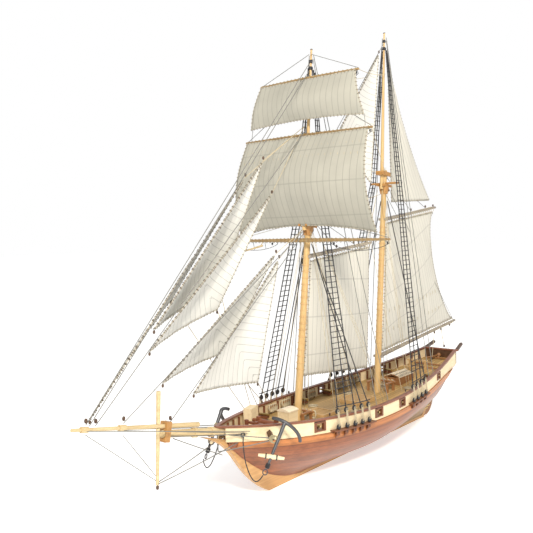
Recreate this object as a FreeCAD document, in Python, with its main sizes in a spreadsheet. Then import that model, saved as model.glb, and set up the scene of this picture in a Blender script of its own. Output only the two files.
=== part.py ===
import FreeCAD, Part
import math
import os

# A two-masted topsail schooner model, built the way such a wooden kit is built.
# Axes: +X towards the bow, +Y to port, +Z up. Origin: flat bottom of the keel, on the centreline.
# Lengths are in millimetres. Points of the ship are given on the design lines (hull 360 long,
# 90.5 wide, 53 deep amidships, main mast 391.6 high) and "at" maps them to the sheet's sizes.

V = FreeCAD.Vector
DESIGN_LENGTH, DESIGN_BEAM, DESIGN_DEPTH, DESIGN_HEIGHT = 360.0, 90.5, 53.0, 391.6

doc = FreeCAD.newDocument("schooner")
sheet = doc.addObject("Spreadsheet::Sheet", "Sheet")
SIZES = [
    ("hull_length", 360.0), ("hull_beam", 90.5), ("hull_depth", 53.0), ("mast_height", 391.6),
    ("keel_width", 5.0), ("keel_height", 2.7), ("plank_thickness", 1.6), ("deck_thickness", 1.0),
    ("deck_camber", 1.2), ("bulwark_height", 12.0), ("rail_width", 3.5), ("rail_thickness", 1.4),
    ("mast_dia", 6.6), ("topmast_dia", 3.8), ("bowsprit_dia", 6.2), ("jibboom_dia", 3.4),
    ("yard_dia", 3.4), ("boom_dia", 4.2), ("gaff_dia", 3.8), ("fore_yard_length", 166.0),
    ("topsail_yard_length", 130.0), ("topgallant_yard_length", 101.0), ("sail_thickness", 0.5),
    ("shroud_dia", 0.9), ("stay_dia", 0.6), ("deadeye_dia", 3.9), ("gap", 0.3), ("rudder_width", 3.0),
]
for row, (alias, value) in enumerate(SIZES, start=1):
    sheet.set("A%d" % row, alias)
    sheet.set("B%d" % row, str(value))
    sheet.setAlias("B%d" % row, alias)
doc.recompute()


def size(alias):
    return float(sheet.get(alias))


GAP = size("gap")
KEEL_HALF = size("keel_width") / 2
PLANK = size("plank_thickness")
BULWARK = size("bulwark_height")
RAIL = size("rail_thickness")
BACKBONE_HALF = 1.5
nodes = []


def at(x, y, z):
    """A point of the design lines, at the sheet's sizes."""
    low = min(z, DESIGN_DEPTH) * size("hull_depth") / DESIGN_DEPTH
    rig = (size("mast_height") - size("hull_depth")) / (DESIGN_HEIGHT - DESIGN_DEPTH)
    high = max(z - DESIGN_DEPTH, 0.0) * rig
    return V(x * size("hull_length") / DESIGN_LENGTH, y * size("hull_beam") / DESIGN_BEAM, low + high)


def smooth(u):
    u = max(0.0, min(1.0, u))
    return u * u * (3 - 2 * u)


# ---------- hull lines ----------

def rail_half(x):
    """Half breadth at the rail, from the transom (-180) to the stem (180)."""
    u = min(1.0, max(0.0, (x + 180) / 360))
    return 19.1 * (1 - u) ** 3 + 131.5 * u * (1 - u) ** 2 + 211.9 * u * u * (1 - u)


def rail_z(x):
    """Top of the cap rail: the sheer."""
    u = min(1.0, max(0.0, (x + 180) / 360))
    return 67.2 * (1 - u) ** 2 + 81.4 * u * (1 - u) + 64.0 * u * u


def wale_half(x):
    return rail_half(min(180.0, x + 6 * max(0.0, (x - 100) / 74) ** 2))


def wale_z(x):
    return rail_z(x) - BULWARK - 3.5 * smooth((-120 - x) / 60)


def deck_z(x):
    """Underside of the deck at the side."""
    return rail_z(x) - BULWARK + 0.05


def deck_top(x):
    return deck_z(x) + size("deck_thickness") + size("deck_camber")


def flow(points, x):
    """A smooth line through points that never overshoots them."""
    slopes = [(q[1] - p[1]) / (q[0] - p[0]) for p, q in zip(points, points[1:])]
    bends = [slopes[0]]
    for before, after in zip(slopes, slopes[1:]):
        bends.append(0.0 if before * after <= 0 else 2 * before * after / (before + after))
    bends.append(slopes[-1])
    for k, ((x0, z0), (x1, z1)) in enumerate(zip(points, points[1:])):
        if x <= x1 or k == len(points) - 2:
            wide, u = x1 - x0, (x - x0) / (x1 - x0)
            ease = u * u * (3 - 2 * u)
            start, end = bends[k] * u * (1 - u) ** 2, bends[k + 1] * u * u * (1 - u)
            return z0 + (z1 - z0) * ease + wide * (start - end)


RABBET = [(-180, 45.5), (-172, 44.7), (-164, 43.2), (-159, 39.4), (-152, 28.6), (-145, 17.0), (-137, 8.0),
          (-129, 3.6), (-118, 2.8), (78, 2.8), (96, 4.4), (120, 11.5), (134, 19.5), (152, 32.2), (163, 41.5), (171, 49.0)]


def rabbet_z(x):
    """Height of the planking's lower edge on the keel, stem and sternpost."""
    return max(size("keel_height"), flow(RABBET, x))


def fullness(x):
    """How hollow a section is at the keel: under 1 is a flat floor, over 1 is hollow."""
    return 0.78 + 0.95 * smooth(abs(x - 5) / 150) - 1.0 * smooth((-158 - x) / 14)


def side_half(x, share):
    """Half breadth of the planking at a share of the height from rabbet to wale."""
    start = KEEL_HALF + GAP
    round_up = (1 - (1 - share) ** 2.1) ** fullness(x)
    return start + (wale_half(x) - start) * round_up


def section(x, count=11):
    """Outer section points from the rabbet up to the wale's top, at the sheet's sizes."""
    points = []
    for k in range(count):
        share = 0.5 * (1 - math.cos(math.pi * k / (count - 1)))
        z = rabbet_z(x) + 0.1 + (wale_z(x) - rabbet_z(x) - 0.1) * share
        points.append(at(x, side_half(x, share), z))
    return points


def inset(points, depth, least):
    """The same section moved inwards by depth, staying outside half breadth least."""
    moved = []
    for k, point in enumerate(points):
        before, after = points[max(0, k - 1)], points[min(len(points) - 1, k + 1)]
        along = (after - before).normalize()
        if k == len(points) - 1:
            along = V(0, 0, 1)
        inner = point + V(0, -along.z, along.y) * depth
        moved.append(V(inner.x, max(least, inner.y), inner.z))
    return moved


def mirrored(points):
    return [V(p.x, -p.y, p.z) for p in points]


def spline(points):
    curve = Part.BSplineCurve()
    curve.interpolate(points)
    return curve.toShape()


def band_wire(outer, inner):
    """A closed section: outer curve, end, inner curve back, end."""
    return Part.Wire([spline(outer), Part.makeLine(outer[-1], inner[-1]), spline(inner[::-1]),
                      Part.makeLine(inner[0], outer[0])])


def loft(wires):
    solid = Part.makeLoft(wires, True, False)
    if solid.Volume < 0:
        solid = Part.makeLoft(wires[::-1], True, False)
    return solid


def quad_wire(corners):
    return Part.makePolygon(list(corners) + [corners[0]])


def both_sides(shape):
    return Part.Compound([shape, shape.mirror(V(0, 0, 0), V(0, 1, 0))])


# ---------- making nodes ----------

def solids_of(shapes):
    found = []
    for shape in shapes:
        found.extend(shape.Solids)
    return found


def feature(name, shapes):
    """A node whose shape is set with Part's own functions."""
    solids = solids_of(shapes if isinstance(shapes, list) else [shapes])
    obj = doc.addObject("Part::Feature", name)
    obj.Label = name
    obj.Shape = solids[0] if len(solids) == 1 else Part.Compound(solids)
    nodes.append(obj)
    return obj


def turn_to(direction):
    return FreeCAD.Rotation(V(0, 0, 1), direction)


def spar(name, start, end, dia, thin=0.7, keep=True):
    """A round tapered spar: a cone bound to the sheet, standing from start to end."""
    obj = doc.addObject("Part::Cone", name)
    obj.Label = name
    obj.setExpression("Radius1", "Sheet.%s / 2" % dia)
    obj.setExpression("Radius2", "Sheet.%s / 2 * %g" % (dia, thin))
    obj.Height = (end - start).Length
    obj.Placement = FreeCAD.Placement(start, turn_to(end - start))
    if keep:
        nodes.append(obj)
    return obj


def yard(name, centre, length, thin=0.5):
    """A yard along Y: two cones tapering from the middle to the yardarms, fused."""
    arms = []
    for side, word in ((1, "port"), (-1, "starboard")):
        arm = doc.addObject("Part::Cone", name + "_" + word)
        arm.setExpression("Radius1", "Sheet.yard_dia / 2")
        arm.setExpression("Radius2", "Sheet.yard_dia / 2 * %g" % thin)
        arm.setExpression("Height", "Sheet.%s / 2" % length)
        arm.Placement = FreeCAD.Placement(centre, turn_to(V(0, side, 0)))
        arms.append(arm)
    obj = doc.addObject("Part::MultiFuse", name)
    obj.Label = name
    obj.Shapes = arms
    nodes.append(obj)
    return obj


def pad_body(name, outline, plane, depth, centre=True):
    """A PartDesign body: one closed outline on a base plane, padded to a sheet size."""
    body = doc.addObject("PartDesign::Body", name)
    body.Label = name
    sketch = body.newObject("Sketcher::SketchObject", name + "_sketch")
    base = [f for f in body.Origin.OriginFeatures if f.Role == plane][0]
    sketch.AttachmentSupport = [(base, "")]
    sketch.MapMode = "FlatFace"
    for a, b in zip(outline, outline[1:] + outline[:1]):
        sketch.addGeometry(Part.LineSegment(V(a[0], a[1], 0), V(b[0], b[1], 0)))
    pad = body.newObject("PartDesign::Pad", name + "_pad")
    pad.Profile = sketch
    pad.setExpression("Length", depth)
    pad.Midplane = centre
    doc.recompute()
    nodes.append(body)
    return body


def rod(start, end, radius, end_radius=None):
    """A round bar from start to end."""
    direction = end - start
    if end_radius is None or abs(end_radius - radius) < 1e-6:
        return Part.makeCylinder(radius, direction.Length, start, direction)
    return Part.makeCone(radius, end_radius, direction.Length, start, direction)


def box(centre, sx, sy, sz, turn=0.0):
    """A block about its centre, turned about Z by turn degrees."""
    solid = Part.makeBox(sx, sy, sz, V(-sx / 2, -sy / 2, -sz / 2))
    solid.Placement = FreeCAD.Placement(centre, FreeCAD.Rotation(V(0, 0, 1), turn))
    return solid


def ring(centre, axis, inner, outer, height):
    direction = V(axis).normalize()
    start = centre - direction * (height / 2)
    solid = Part.makeCylinder(outer, height, start, direction)
    return solid.cut(Part.makeCylinder(inner, height, start, direction))


def side_turn(x):
    """Angle of the hull's side from the X axis at x, in degrees, on the port side."""
    ahead, astern = at(x + 2, rail_half(x + 2), 0), at(x - 2, rail_half(x - 2), 0)
    return math.degrees(math.atan2(ahead.y - astern.y, ahead.x - astern.x))


# ---------- keel, stem, sternpost, backbone ----------

STATIONS = [-180, -176, -172, -168, -164, -160, -156, -152, -148, -144, -140, -135, -130, -122, -112, -95, -70,
            -40, -10, 20, 50, 75, 90, 102, 112, 121, 130, 138, 145, 151, 157, 163, 169]
SCARF_X = 84.0
POST_RAKE = 0.66
POST_FOOT = -136.0
STEM_FRONT = [(123.6, 0), (137.2, 9.2), (151.8, 23.5), (163.6, 38.5), (170.5, 46.0), (181, 53.2), (193.5, 59.0)]


def post_face(z):
    """X of the sternpost's after face."""
    return POST_FOOT - POST_RAKE * z


def make_keel():
    foot, scarf = at(-136.0, 0, 0).x, at(SCARF_X, 0, 0).x
    outline = [(foot, 0), (scarf, 0), (scarf, size("keel_height")), (foot, size("keel_height"))]
    pad_body("keel", outline, "XZ_Plane", "Sheet.keel_width")


def flat_plate(curve_points, straight_points, half):
    """A plate in the centre plane, 2 x half thick: one smooth edge and straight edges."""
    smooth_edge = spline(curve_points)
    rest = [curve_points[-1]] + straight_points + [curve_points[0]]
    edges = [smooth_edge] + [Part.makeLine(a, b) for a, b in zip(rest, rest[1:])]
    face = Part.Face(Part.Wire(edges))
    solid = face.extrude(V(0, 2 * half, 0))
    solid.translate(V(0, -half, 0))
    return solid


def sternpost():
    low = size("keel_height") + 0.1
    lines = [(post_face(low), low), (post_face(41), 41)]
    lines += [(x, rabbet_z(x)) for x in (-160, -156, -152, -148, -144, -140, -136)] + [(-132, low)]
    solid = Part.Face(quad_wire([at(x, 0, z) for x, z in lines])).extrude(V(0, 2 * KEEL_HALF, 0))
    solid.translate(V(0, -KEEL_HALF, 0))
    return solid


def make_stem():
    front = [at(x, 0, z) for x, z in STEM_FRONT]
    under = [(190.0, 58.2), (172.0, 52.6), (168.6, 47.4)]
    under += [(x, rabbet_z(x)) for x in (165, 152, 134, 120, 108, 96)]
    inner = [at(x, 0, z) for x, z in under] + [at(SCARF_X + 0.1, 0, 2.7), at(SCARF_X + 0.1, 0, 0)]
    feature("stem_and_sternpost", [flat_plate(front, inner, KEEL_HALF), sternpost()])


def mast_step_cut(x, radius):
    return Part.makeCylinder(radius + 0.2, 30, at(x, 0, 30), V(0, 0, 1))


def make_frames():
    """The centre backbone and the bulkheads that the planking is bent round."""
    lower = [at(x, 0, rabbet_z(x) + 0.15) for x in (-156, -148, -140, -130, -120, 80, 96, 120, 134, 152, 164)]
    upper = [at(x, 0, deck_z(x) - 0.6) for x in (162, 120, 60, 0, -60, -120, -156)]
    face = Part.Face(quad_wire(lower + upper))
    backbone = face.extrude(V(0, 2 * BACKBONE_HALF, 0))
    backbone.translate(V(0, -BACKBONE_HALF, 0))
    for foot in (FORE_LOWER.foot, MAIN_LOWER.foot):
        backbone = backbone.cut(mast_step_cut(foot, size("mast_dia") / 2 + 1.2))
    plates = [backbone]
    for x in (-128, -95, -68, -22, 18, 58, 108, 136):
        inner = BACKBONE_HALF + 0.15
        outline = [p for p in inset(section(x), PLANK + 0.7, inner) if p.y > inner + 0.4]
        low, high = outline[0].z, outline[-1].z
        corners = [outline[-1], V(outline[0].x, inner, high), V(outline[0].x, inner, low), outline[0]]
        half = Part.Wire([spline(outline)] + [Part.makeLine(p, q) for p, q in zip(corners, corners[1:])])
        plate = Part.Face(half).extrude(V(-1.6 if x > 0 else 1.6, 0, 0))
        plates.append(both_sides(plate))
    feature("frames", plates)


# ---------- planking, wales, bulwarks, rails, deck ----------

def make_planking():
    least = KEEL_HALF - 0.85
    wires = [band_wire(section(x), inset(section(x), PLANK, least)) for x in STATIONS]
    split = STATIONS.index(-156)
    outlines = [section(x, 7) + inset(section(x, 7), PLANK, least)[::-1] for x in STATIONS[:split + 1]]
    counter = Part.makeLoft([quad_wire(outline) for outline in outlines], True, True)
    port = Part.Compound([counter, loft(wires[split:])])
    feature("planking_port", port)
    feature("planking_starboard", port.mirror(V(0, 0, 0), V(0, 1, 0)))


WALE_DROP, WALE_THICK = 5.4, 0.8


def half_at(x, z):
    """Half breadth of the planking's outside at height z (design lines)."""
    share = (z - rabbet_z(x)) / (wale_z(x) - rabbet_z(x))
    return side_half(x, max(0.0, min(1.0, share)))


def make_wales():
    wires = []
    for x in STATIONS[4:-1]:
        top, low = wale_z(x) - 0.3, max(rabbet_z(x) + 1.0, wale_z(x) - WALE_DROP)
        mid = (top + low) / 2
        off = 0.15 + 0.5 * smooth((-146 - x) / 8)
        inner = [at(x, half_at(x, z), z) + V(0, off, 0) for z in (low, mid, top)]
        outer = [p + V(0, WALE_THICK, 0) for p in inner]
        wires.append(band_wire(outer, inner))
    feature("wales", both_sides(loft(wires)))


PORTS = (98.0, 27.0, -13.0, -109.0)
PORT_WIDTH, PORT_SILL, PORT_TOP = 11.5, 2.2, 3.0


def port_block(x, width, thick, low, high, out=0.0):
    """A block in the bulwark's line at x, between heights low and high."""
    centre = at(x, rail_half(x), 0)
    turn = side_turn(x)
    normal = V(-math.sin(math.radians(turn)), math.cos(math.radians(turn)), 0)
    middle = V(centre.x, centre.y, (low + high) / 2) + normal * (out - PLANK / 2)
    return box(middle, width, thick, high - low, turn)


def real_z(z):
    return at(0, 0, z).z


def port_heights(x):
    return real_z(wale_z(x)) + PORT_SILL, real_z(rail_z(x)) - RAIL - 0.1


def make_bulwarks():
    wires = []
    least = size("bowsprit_dia") / 2 + 0.3
    for x in [-179.5] + STATIONS[1:] + [172.5]:
        low, high = real_z(wale_z(x)) + 0.05, real_z(rail_z(x)) - RAIL - 0.05
        outer = at(x, rail_half(x), 0)
        inner_y = max(least, outer.y - PLANK)
        wires.append(quad_wire([V(outer.x, outer.y, low), V(outer.x, outer.y, high),
                                V(outer.x, inner_y, high), V(outer.x, inner_y, low)]))
    side = loft(wires)
    for x in PORTS:
        low, high = port_heights(x)
        side = side.cut(port_block(x, PORT_WIDTH, 8, low, high + 1))
    feature("bulwarks", both_sides(side))


POST_WIDTH = 2.0


def make_port_frames():
    """Sill, lintel and two posts round every gunport, proud of the bulwark."""
    blocks = []
    for x in PORTS:
        low, high = port_heights(x)
        turn = math.radians(side_turn(x))
        for way in (-1, 1):
            shift = way * (PORT_WIDTH / 2 - POST_WIDTH / 2 - 0.1)
            post = port_block(x, POST_WIDTH, PLANK + 1.4, low + 0.05, high - 0.8)
            post.translate(V(shift * math.cos(turn), shift * math.sin(turn), 0))
            blocks.append(post)
        inside = PORT_WIDTH - 2 * POST_WIDTH - 0.4
        blocks.append(port_block(x, inside, PLANK + 1.0, low + 0.05, low + 1.1))
        blocks.append(port_block(x, inside, PLANK + 1.0, high - 1.9, high - 0.7))
    for x in range(-168, 160, 12):
        if min(abs(x - port) for port in PORTS) < PORT_WIDTH / 2 + 2:
            continue
        if rail_half(x) < 12:
            continue
        foot = real_z(deck_z(x)) + size("deck_thickness") + 0.35
        stanchion = port_block(x, 1.6, 1.3, foot, real_z(rail_z(x)) - RAIL - 0.6, out=-PLANK / 2 - 1.1)
        blocks.append(stanchion)
    feature("bulwark_frames", [both_sides(b) for b in blocks])


def make_cap_rails():
    inboard, outboard = size("rail_width") * 0.74, size("rail_width") * 0.26
    wires = []
    for x in [-178.8] + STATIONS[1:] + [172, 175, 177.5, 179.5]:
        high = real_z(rail_z(x))
        edge = at(x, rail_half(x), 0)
        inner_y = max(0.05, edge.y - inboard)
        wires.append(quad_wire([V(edge.x, edge.y + outboard, high - RAIL), V(edge.x, edge.y + outboard, high),
                                V(edge.x, inner_y, high), V(edge.x, inner_y, high - RAIL)]))
    taffrail = box(at(-181.0, 0, rail_z(-180)) + V(0, 0, -RAIL / 2), 3.8, 2 * at(0, 20.6, 0).y, RAIL)
    feature("cap_rails", [both_sides(loft(wires)).cut(bowsprit_room()), taffrail])


def make_transom():
    half, low, high = at(0, rail_half(-180), 0).y, real_z(wale_z(-180)), real_z(rail_z(-180)) - RAIL - 0.1
    x = at(-180.1, 0, 0).x
    keel_point = V(x, 0, real_z(45.5))
    corners = [V(x, -half, high), V(x, -half, low), V(x, -half * 0.72, low - 3.4)]
    other = [V(x, half * 0.72, low - 3.4), V(x, half, low), V(x, half, high)]
    edges = [Part.makeLine(corners[0], corners[1]), Part.makeLine(corners[1], corners[2]),
             Part.Arc(corners[2], keel_point, other[0]).toShape(), Part.makeLine(other[0], other[1]),
             Part.makeLine(other[1], other[2]), Part.makeLine(other[2], corners[0])]
    plate = Part.Face(Part.Wire(edges)).extrude(V(-1.5, 0, 0))
    feature("transom", plate)


def bowsprit_room():
    """The space the bowsprit takes where it goes out over the stem, with a little clearance."""
    start, end = at(*BOWSPRIT_HEEL), at(*BOWSPRIT_END)
    return rod(start - (end - start) * 0.1, end, size("bowsprit_dia") / 2 + 0.25)


def deck_wire(x):
    half = at(x, rail_half(x), 0).y - PLANK - 0.2
    half = max(0.8, half - 3.2 * smooth((x - 130) / 40))
    low, thick, crown = real_z(deck_z(x)), size("deck_thickness"), size("deck_camber")
    here = at(x, 0, 0).x
    bottom = Part.Arc(V(here, -half, low), V(here, 0, low + crown), V(here, half, low)).toShape()
    top = Part.Arc(V(here, half, low + thick), V(here, 0, low + thick + crown), V(here, -half, low + thick)).toShape()
    return Part.Wire([bottom, Part.makeLine(V(here, half, low), V(here, half, low + thick)), top,
                      Part.makeLine(V(here, -half, low + thick), V(here, -half, low))])


def make_deck():
    deck = loft([deck_wire(x) for x in [-179.7] + STATIONS[1:-1]])
    for mast in (FORE_LOWER, MAIN_LOWER):
        deck = deck.cut(rod(mast.point(30), mast.point(70), size("mast_dia") / 2 + 0.12))
    deck = deck.cut(bowsprit_room())
    axis_low, axis_high = rudder_axis(46), rudder_axis(66)
    deck = deck.cut(rod(axis_low, axis_high, size("rudder_width") / 2 + 0.4))
    feature("deck", deck)


# ---------- masts ----------

class MastLine:
    """A raked mast: the foot's X, the X at a named height, and its ends."""

    def __init__(self, foot, foot_z, top, top_z):
        self.foot, self.foot_z, self.top, self.top_z = foot, foot_z, top, top_z

    def share(self, z):
        """How far up the spar height z is, at the sheet's sizes."""
        foot, top = real_z(self.foot_z), real_z(self.top_z)
        return (real_z(z) - foot) / (top - foot)

    def point(self, z):
        low, high = at(self.foot, 0, self.foot_z), at(self.top, 0, self.top_z)
        return low + (high - low) * self.share(z)

    def axis(self):
        return (self.point(self.top_z) - self.point(self.foot_z)).normalize()

    def radius(self, z, dia, thin):
        return dia / 2 * (1 - (1 - thin) * self.share(z))


FORE_LOWER = MastLine(84.6, 30.0, 59.9, 220.0)
MAIN_LOWER = MastLine(-43.1, 30.0, -65.6, 259.0)
FORE_TOP = MastLine(66.9, 203.0, 51.6, 354.0)
MAIN_TOP = MastLine(-59.6, 241.0, -69.2, 391.6)
LOWER_THIN, TOP_THIN = 0.74, 0.42
FORE_TREES, MAIN_TREES = 207.0, 244.5


def make_masts():
    spar("fore_lower_mast", FORE_LOWER.point(30), FORE_LOWER.point(220), "mast_dia", LOWER_THIN)
    spar("main_lower_mast", MAIN_LOWER.point(30), MAIN_LOWER.point(259), "mast_dia", LOWER_THIN)
    spar("fore_topmast", FORE_TOP.point(203), FORE_TOP.point(354), "topmast_dia", TOP_THIN)
    spar("main_topmast", MAIN_TOP.point(241), MAIN_TOP.point(391.6), "topmast_dia", TOP_THIN)


def hole_for(mast, z, radius):
    axis = mast.axis()
    centre = mast.point(z)
    return Part.makeCylinder(radius, 28, centre - axis * 14, axis)


def masthead(lower, upper, trees_z, cap_z):
    """Cap, trestletrees and crosstrees at one doubling."""
    lower_hole = lower.radius(trees_z, size("mast_dia"), LOWER_THIN) + 0.12
    upper_hole = size("topmast_dia") / 2 + 0.12
    middle = (lower.point(cap_z) + upper.point(cap_z)) * 0.5
    tilt = lower.axis()
    cap = Part.makeBox(15, 7.6, 3.6, V(-7.5, -3.8, -1.8))
    cap.Placement = FreeCAD.Placement(middle - tilt * 2.2, turn_to(tilt))
    pieces = [cap]
    trees = (lower.point(trees_z) + upper.point(trees_z)) * 0.5
    for side in (-1, 1):
        trestle = Part.makeBox(15.2, 1.5, 2.2, V(-9.5, -0.75, -1.1))
        trestle.Placement = FreeCAD.Placement(trees + V(0, side * 3.5, 0), turn_to(tilt))
        pieces.append(trestle)
    for shift in (-6.5, -1.2):
        cross = Part.makeBox(1.5, 27.0, 1.5, V(-0.75, -13.5, 1.15))
        cross.Placement = FreeCAD.Placement(trees + V(shift, 0, 0), turn_to(tilt))
        pieces.append(cross)
    bolster = Part.makeCone(lower_hole + 0.9, lower_hole + 2.4, 7, lower.point(trees_z) - tilt * 8.4, tilt)
    pieces.append(bolster)
    done = []
    for k, piece in enumerate(pieces):
        z = cap_z if k == 0 else trees_z
        done.append(piece.cut([hole_for(lower, z, lower_hole), hole_for(upper, z, upper_hole)]))
    return done


def make_mastheads():
    fore = masthead(FORE_LOWER, FORE_TOP, FORE_TREES, 219.0)
    main = masthead(MAIN_LOWER, MAIN_TOP, MAIN_TREES, 258.0)
    feature("mast_caps", fore + main + [bowsprit_cap()])


def make_hoops():
    """Wooden hoops that hold the luffs of the two gaff sails to their masts."""
    hoops = []
    for mast, low, high in ((FORE_LOWER, 88, 174), (MAIN_LOWER, 92, 204)):
        count = int((high - low) / 5.2)
        for k in range(count + 1):
            z = low + (high - low) * k / count
            inner = mast.radius(z, size("mast_dia"), LOWER_THIN) + 0.08
            hoops.append(ring(mast.point(z), mast.axis(), inner, inner + 0.55, 0.6))
    feature("mast_hoops", hoops)


# ---------- bowsprit ----------

BOWSPRIT_HEEL, BOWSPRIT_END = (147.0, 0, 53.2), (229.5, 0, 70.6)
JIBBOOM_HEEL, JIBBOOM_TIP = (196.0, 0, 69.2), (299.0, 0, 89.7)


def along(start, end, share):
    return at(*start) + (at(*end) - at(*start)) * share


def bowsprit_cap():
    """The cap at the bowsprit's end: the jibboom goes through its upper hole."""
    axis = (at(*BOWSPRIT_END) - at(*BOWSPRIT_HEEL)).normalize()
    cap = Part.makeBox(13.5, 6.4, 4.6, V(-6.4, -3.2, -2.3))
    cap.Placement = FreeCAD.Placement(at(226.5, 0, 71.9), turn_to(axis))
    cap = cap.cut(rod(at(*BOWSPRIT_HEEL), at(*BOWSPRIT_END) + axis * 10, size("bowsprit_dia") / 2 * 0.95))
    return cap.cut(rod(at(*JIBBOOM_HEEL), at(*JIBBOOM_TIP), size("jibboom_dia") / 2 + 0.1))


def make_bowsprit():
    spar("bowsprit", at(*BOWSPRIT_HEEL), at(*BOWSPRIT_END), "bowsprit_dia", 0.82)
    spar("jibboom", at(*JIBBOOM_HEEL), at(*JIBBOOM_TIP), "jibboom_dia", 0.6)
    axis = (at(*BOWSPRIT_END) - at(*BOWSPRIT_HEEL)).normalize()
    bands = []
    for x in (183.6, 200.0):
        share = (x - BOWSPRIT_HEEL[0]) / (BOWSPRIT_END[0] - BOWSPRIT_HEEL[0])
        radius = size("bowsprit_dia") / 2 * (1 - 0.18 * share)
        centre = along(BOWSPRIT_HEEL, BOWSPRIT_END, share)
        bands.append(ring(centre, axis, radius + 0.05, radius + 0.7, 3.4))
    for x in (262.0, 290.0):
        share = (x - JIBBOOM_HEEL[0]) / (JIBBOOM_TIP[0] - JIBBOOM_HEEL[0])
        radius = size("jibboom_dia") / 2 * (1 - 0.4 * share)
        centre = along(JIBBOOM_HEEL, JIBBOOM_TIP, share)
        bands.append(ring(centre, axis, radius + 0.05, radius + 0.8, 5.0))
    bands[1] = bands[1].cut(rod(at(*JIBBOOM_HEEL), at(*JIBBOOM_TIP), size("jibboom_dia") / 2 + 0.1))
    feature("bowsprit_bands", bands)
    foot, head = at(235.0, 0, 37.9), at(231.4, 0, 99.6)
    feature("dolphin_striker", rod(foot, head, 1.1, 1.5).cut(
        rod(at(*JIBBOOM_HEEL), at(*JIBBOOM_TIP), size("jibboom_dia") / 2 + 0.05)))


# ---------- rudder ----------

AXIS_BACK = 2.2


def rudder_axis(z):
    return at(post_face(z), 0, z) - V(AXIS_BACK, 0, 0)


def make_rudder():
    half = size("rudder_width") / 2
    after = [(-144.5, 0.9), (-155.3, 8.0), (-161.1, 20.5), (-169.6, 40.4)]
    lead = [rudder_axis(z) for z in (40.2, 0.9)]
    edge = spline([at(x, 0, z) for x, z in after])
    ends = [at(after[-1][0], 0, after[-1][1]), lead[0], lead[1], at(after[0][0], 0, after[0][1])]
    wire = Part.Wire([edge] + [Part.makeLine(a, b) for a, b in zip(ends, ends[1:])])
    blade = Part.Face(wire).extrude(V(0, 2 * half, 0))
    blade.translate(V(0, -half, 0))
    stock = rod(rudder_axis(0.9), rudder_axis(61.6), half)
    head = rudder_axis(60.0)
    tiller = rod(head + V(half + 0.2, 0, 0), at(-148, 0, 61.5), 0.9, 0.7)
    collar = ring(head, rudder_axis(60) - rudder_axis(50), half + 0.02, half + 0.7, 2.0)
    tiller = tiller.fuse(collar).cut(rod(rudder_axis(50), rudder_axis(66), half + 0.02))
    feature("rudder", [blade.fuse(stock).removeSplitter(), tiller])


# ---------- channels, chainplates, deadeyes, shrouds ----------

FORE_EYES = (82.0, 72.5, 63.0, 54.0, 45.0)
MAIN_EYES = (-32.0, -41.5, -51.5, -61.5)
CHANNELS = ((38.0, 88.0), (-68.0, -26.0))
CHANNEL_OUT = 5.0
EYE_OUT = 3.0


def make_channels():
    plates = []
    for low_x, high_x in CHANNELS:
        count = 5
        wires = []
        for k in range(count):
            x = low_x + (high_x - low_x) * k / (count - 1)
            edge, z = at(x, rail_half(x), 0), real_z(wale_z(x)) + 0.9
            wires.append(quad_wire([V(edge.x, edge.y + 0.1, z), V(edge.x, edge.y + CHANNEL_OUT, z),
                                    V(edge.x, edge.y + CHANNEL_OUT, z + 1.0), V(edge.x, edge.y + 0.1, z + 1.0)]))
        plates.append(both_sides(loft(wires)))
    feature("channels", plates + chainplates())


def chainplates():
    """A shaped wooden cleat under every deadeye, against the wale."""
    plates = []
    for x in FORE_EYES + MAIN_EYES:
        top = real_z(wale_z(x)) + 0.7
        edge = at(x, rail_half(x), 0)
        turn = side_turn(x)
        normal = V(-math.sin(math.radians(turn)), math.cos(math.radians(turn)), 0)
        knee = box(V(edge.x, edge.y, top - 2.9) + normal * 2.0, 3.4, 1.8, 5.6, turn)
        trim = Part.makeCylinder(2.6, 12, V(edge.x, edge.y, top - 6.0) + normal * 3.6 - V(6, 0, 0), V(1, 0, 0))
        plates.append(both_sides(knee.cut(trim)))
    return plates


def eye_points(x):
    edge = at(x, rail_half(x), 0)
    low = V(edge.x, edge.y + EYE_OUT, real_z(rail_z(x)) - 7.9)
    high = V(edge.x - 0.4, edge.y + EYE_OUT - 1.4, real_z(rail_z(x)) + 4.4)
    return low, high


def make_deadeyes():
    discs = []
    radius = size("deadeye_dia") / 2
    for x in FORE_EYES + MAIN_EYES:
        for point in eye_points(x):
            disc = Part.makeCylinder(radius, 1.5, point - V(0, 0.75, 0), V(0, 1, 0))
            discs.append(both_sides(disc))
    feature("deadeyes", discs)


LONG_SHROUDS = 3
RIGS = ((FORE_EYES, FORE_LOWER, FORE_TOP, FORE_TREES, 338.0), (MAIN_EYES, MAIN_LOWER, MAIN_TOP, MAIN_TREES, 376.0))


def shroud_lines():
    """Port shrouds. The first three pass the crosstrees' ends and go on to the topmast head."""
    lines = []
    for eyes, mast, upper, trees, head in RIGS:
        middle = (upper.point(trees) + mast.point(trees)) * 0.5
        for k, x in enumerate(eyes):
            low = eye_points(x)[1]
            if k < LONG_SHROUDS:
                knee = middle + V(-1.2 - 4.6 * k, 14.5, 2.0)
                top = upper.point(head - 2.0 * k) + V(0.6 - 2.0 * k, 2.1, 0)
                rise = (top - knee).normalize()
                lines.append((knee + rise * 0.45, top))
            else:
                centre = mast.point(trees - 11.0 - 1.3 * k)
                reach = mast.radius(trees, size("mast_dia"), LOWER_THIN) + 1.1
                knee = V(centre.x + 1.8 - 1.0 * k, reach, centre.z)
            way = (knee - low).normalize()
            lines.append((low + way * (size("deadeye_dia") / 2 + 0.4), knee - way * 0.45))
    return lines


def make_shrouds():
    radius = size("shroud_dia") / 2
    ropes = [both_sides(rod(low, top, radius)) for low, top in shroud_lines()]
    feature("shrouds", ropes)


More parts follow.
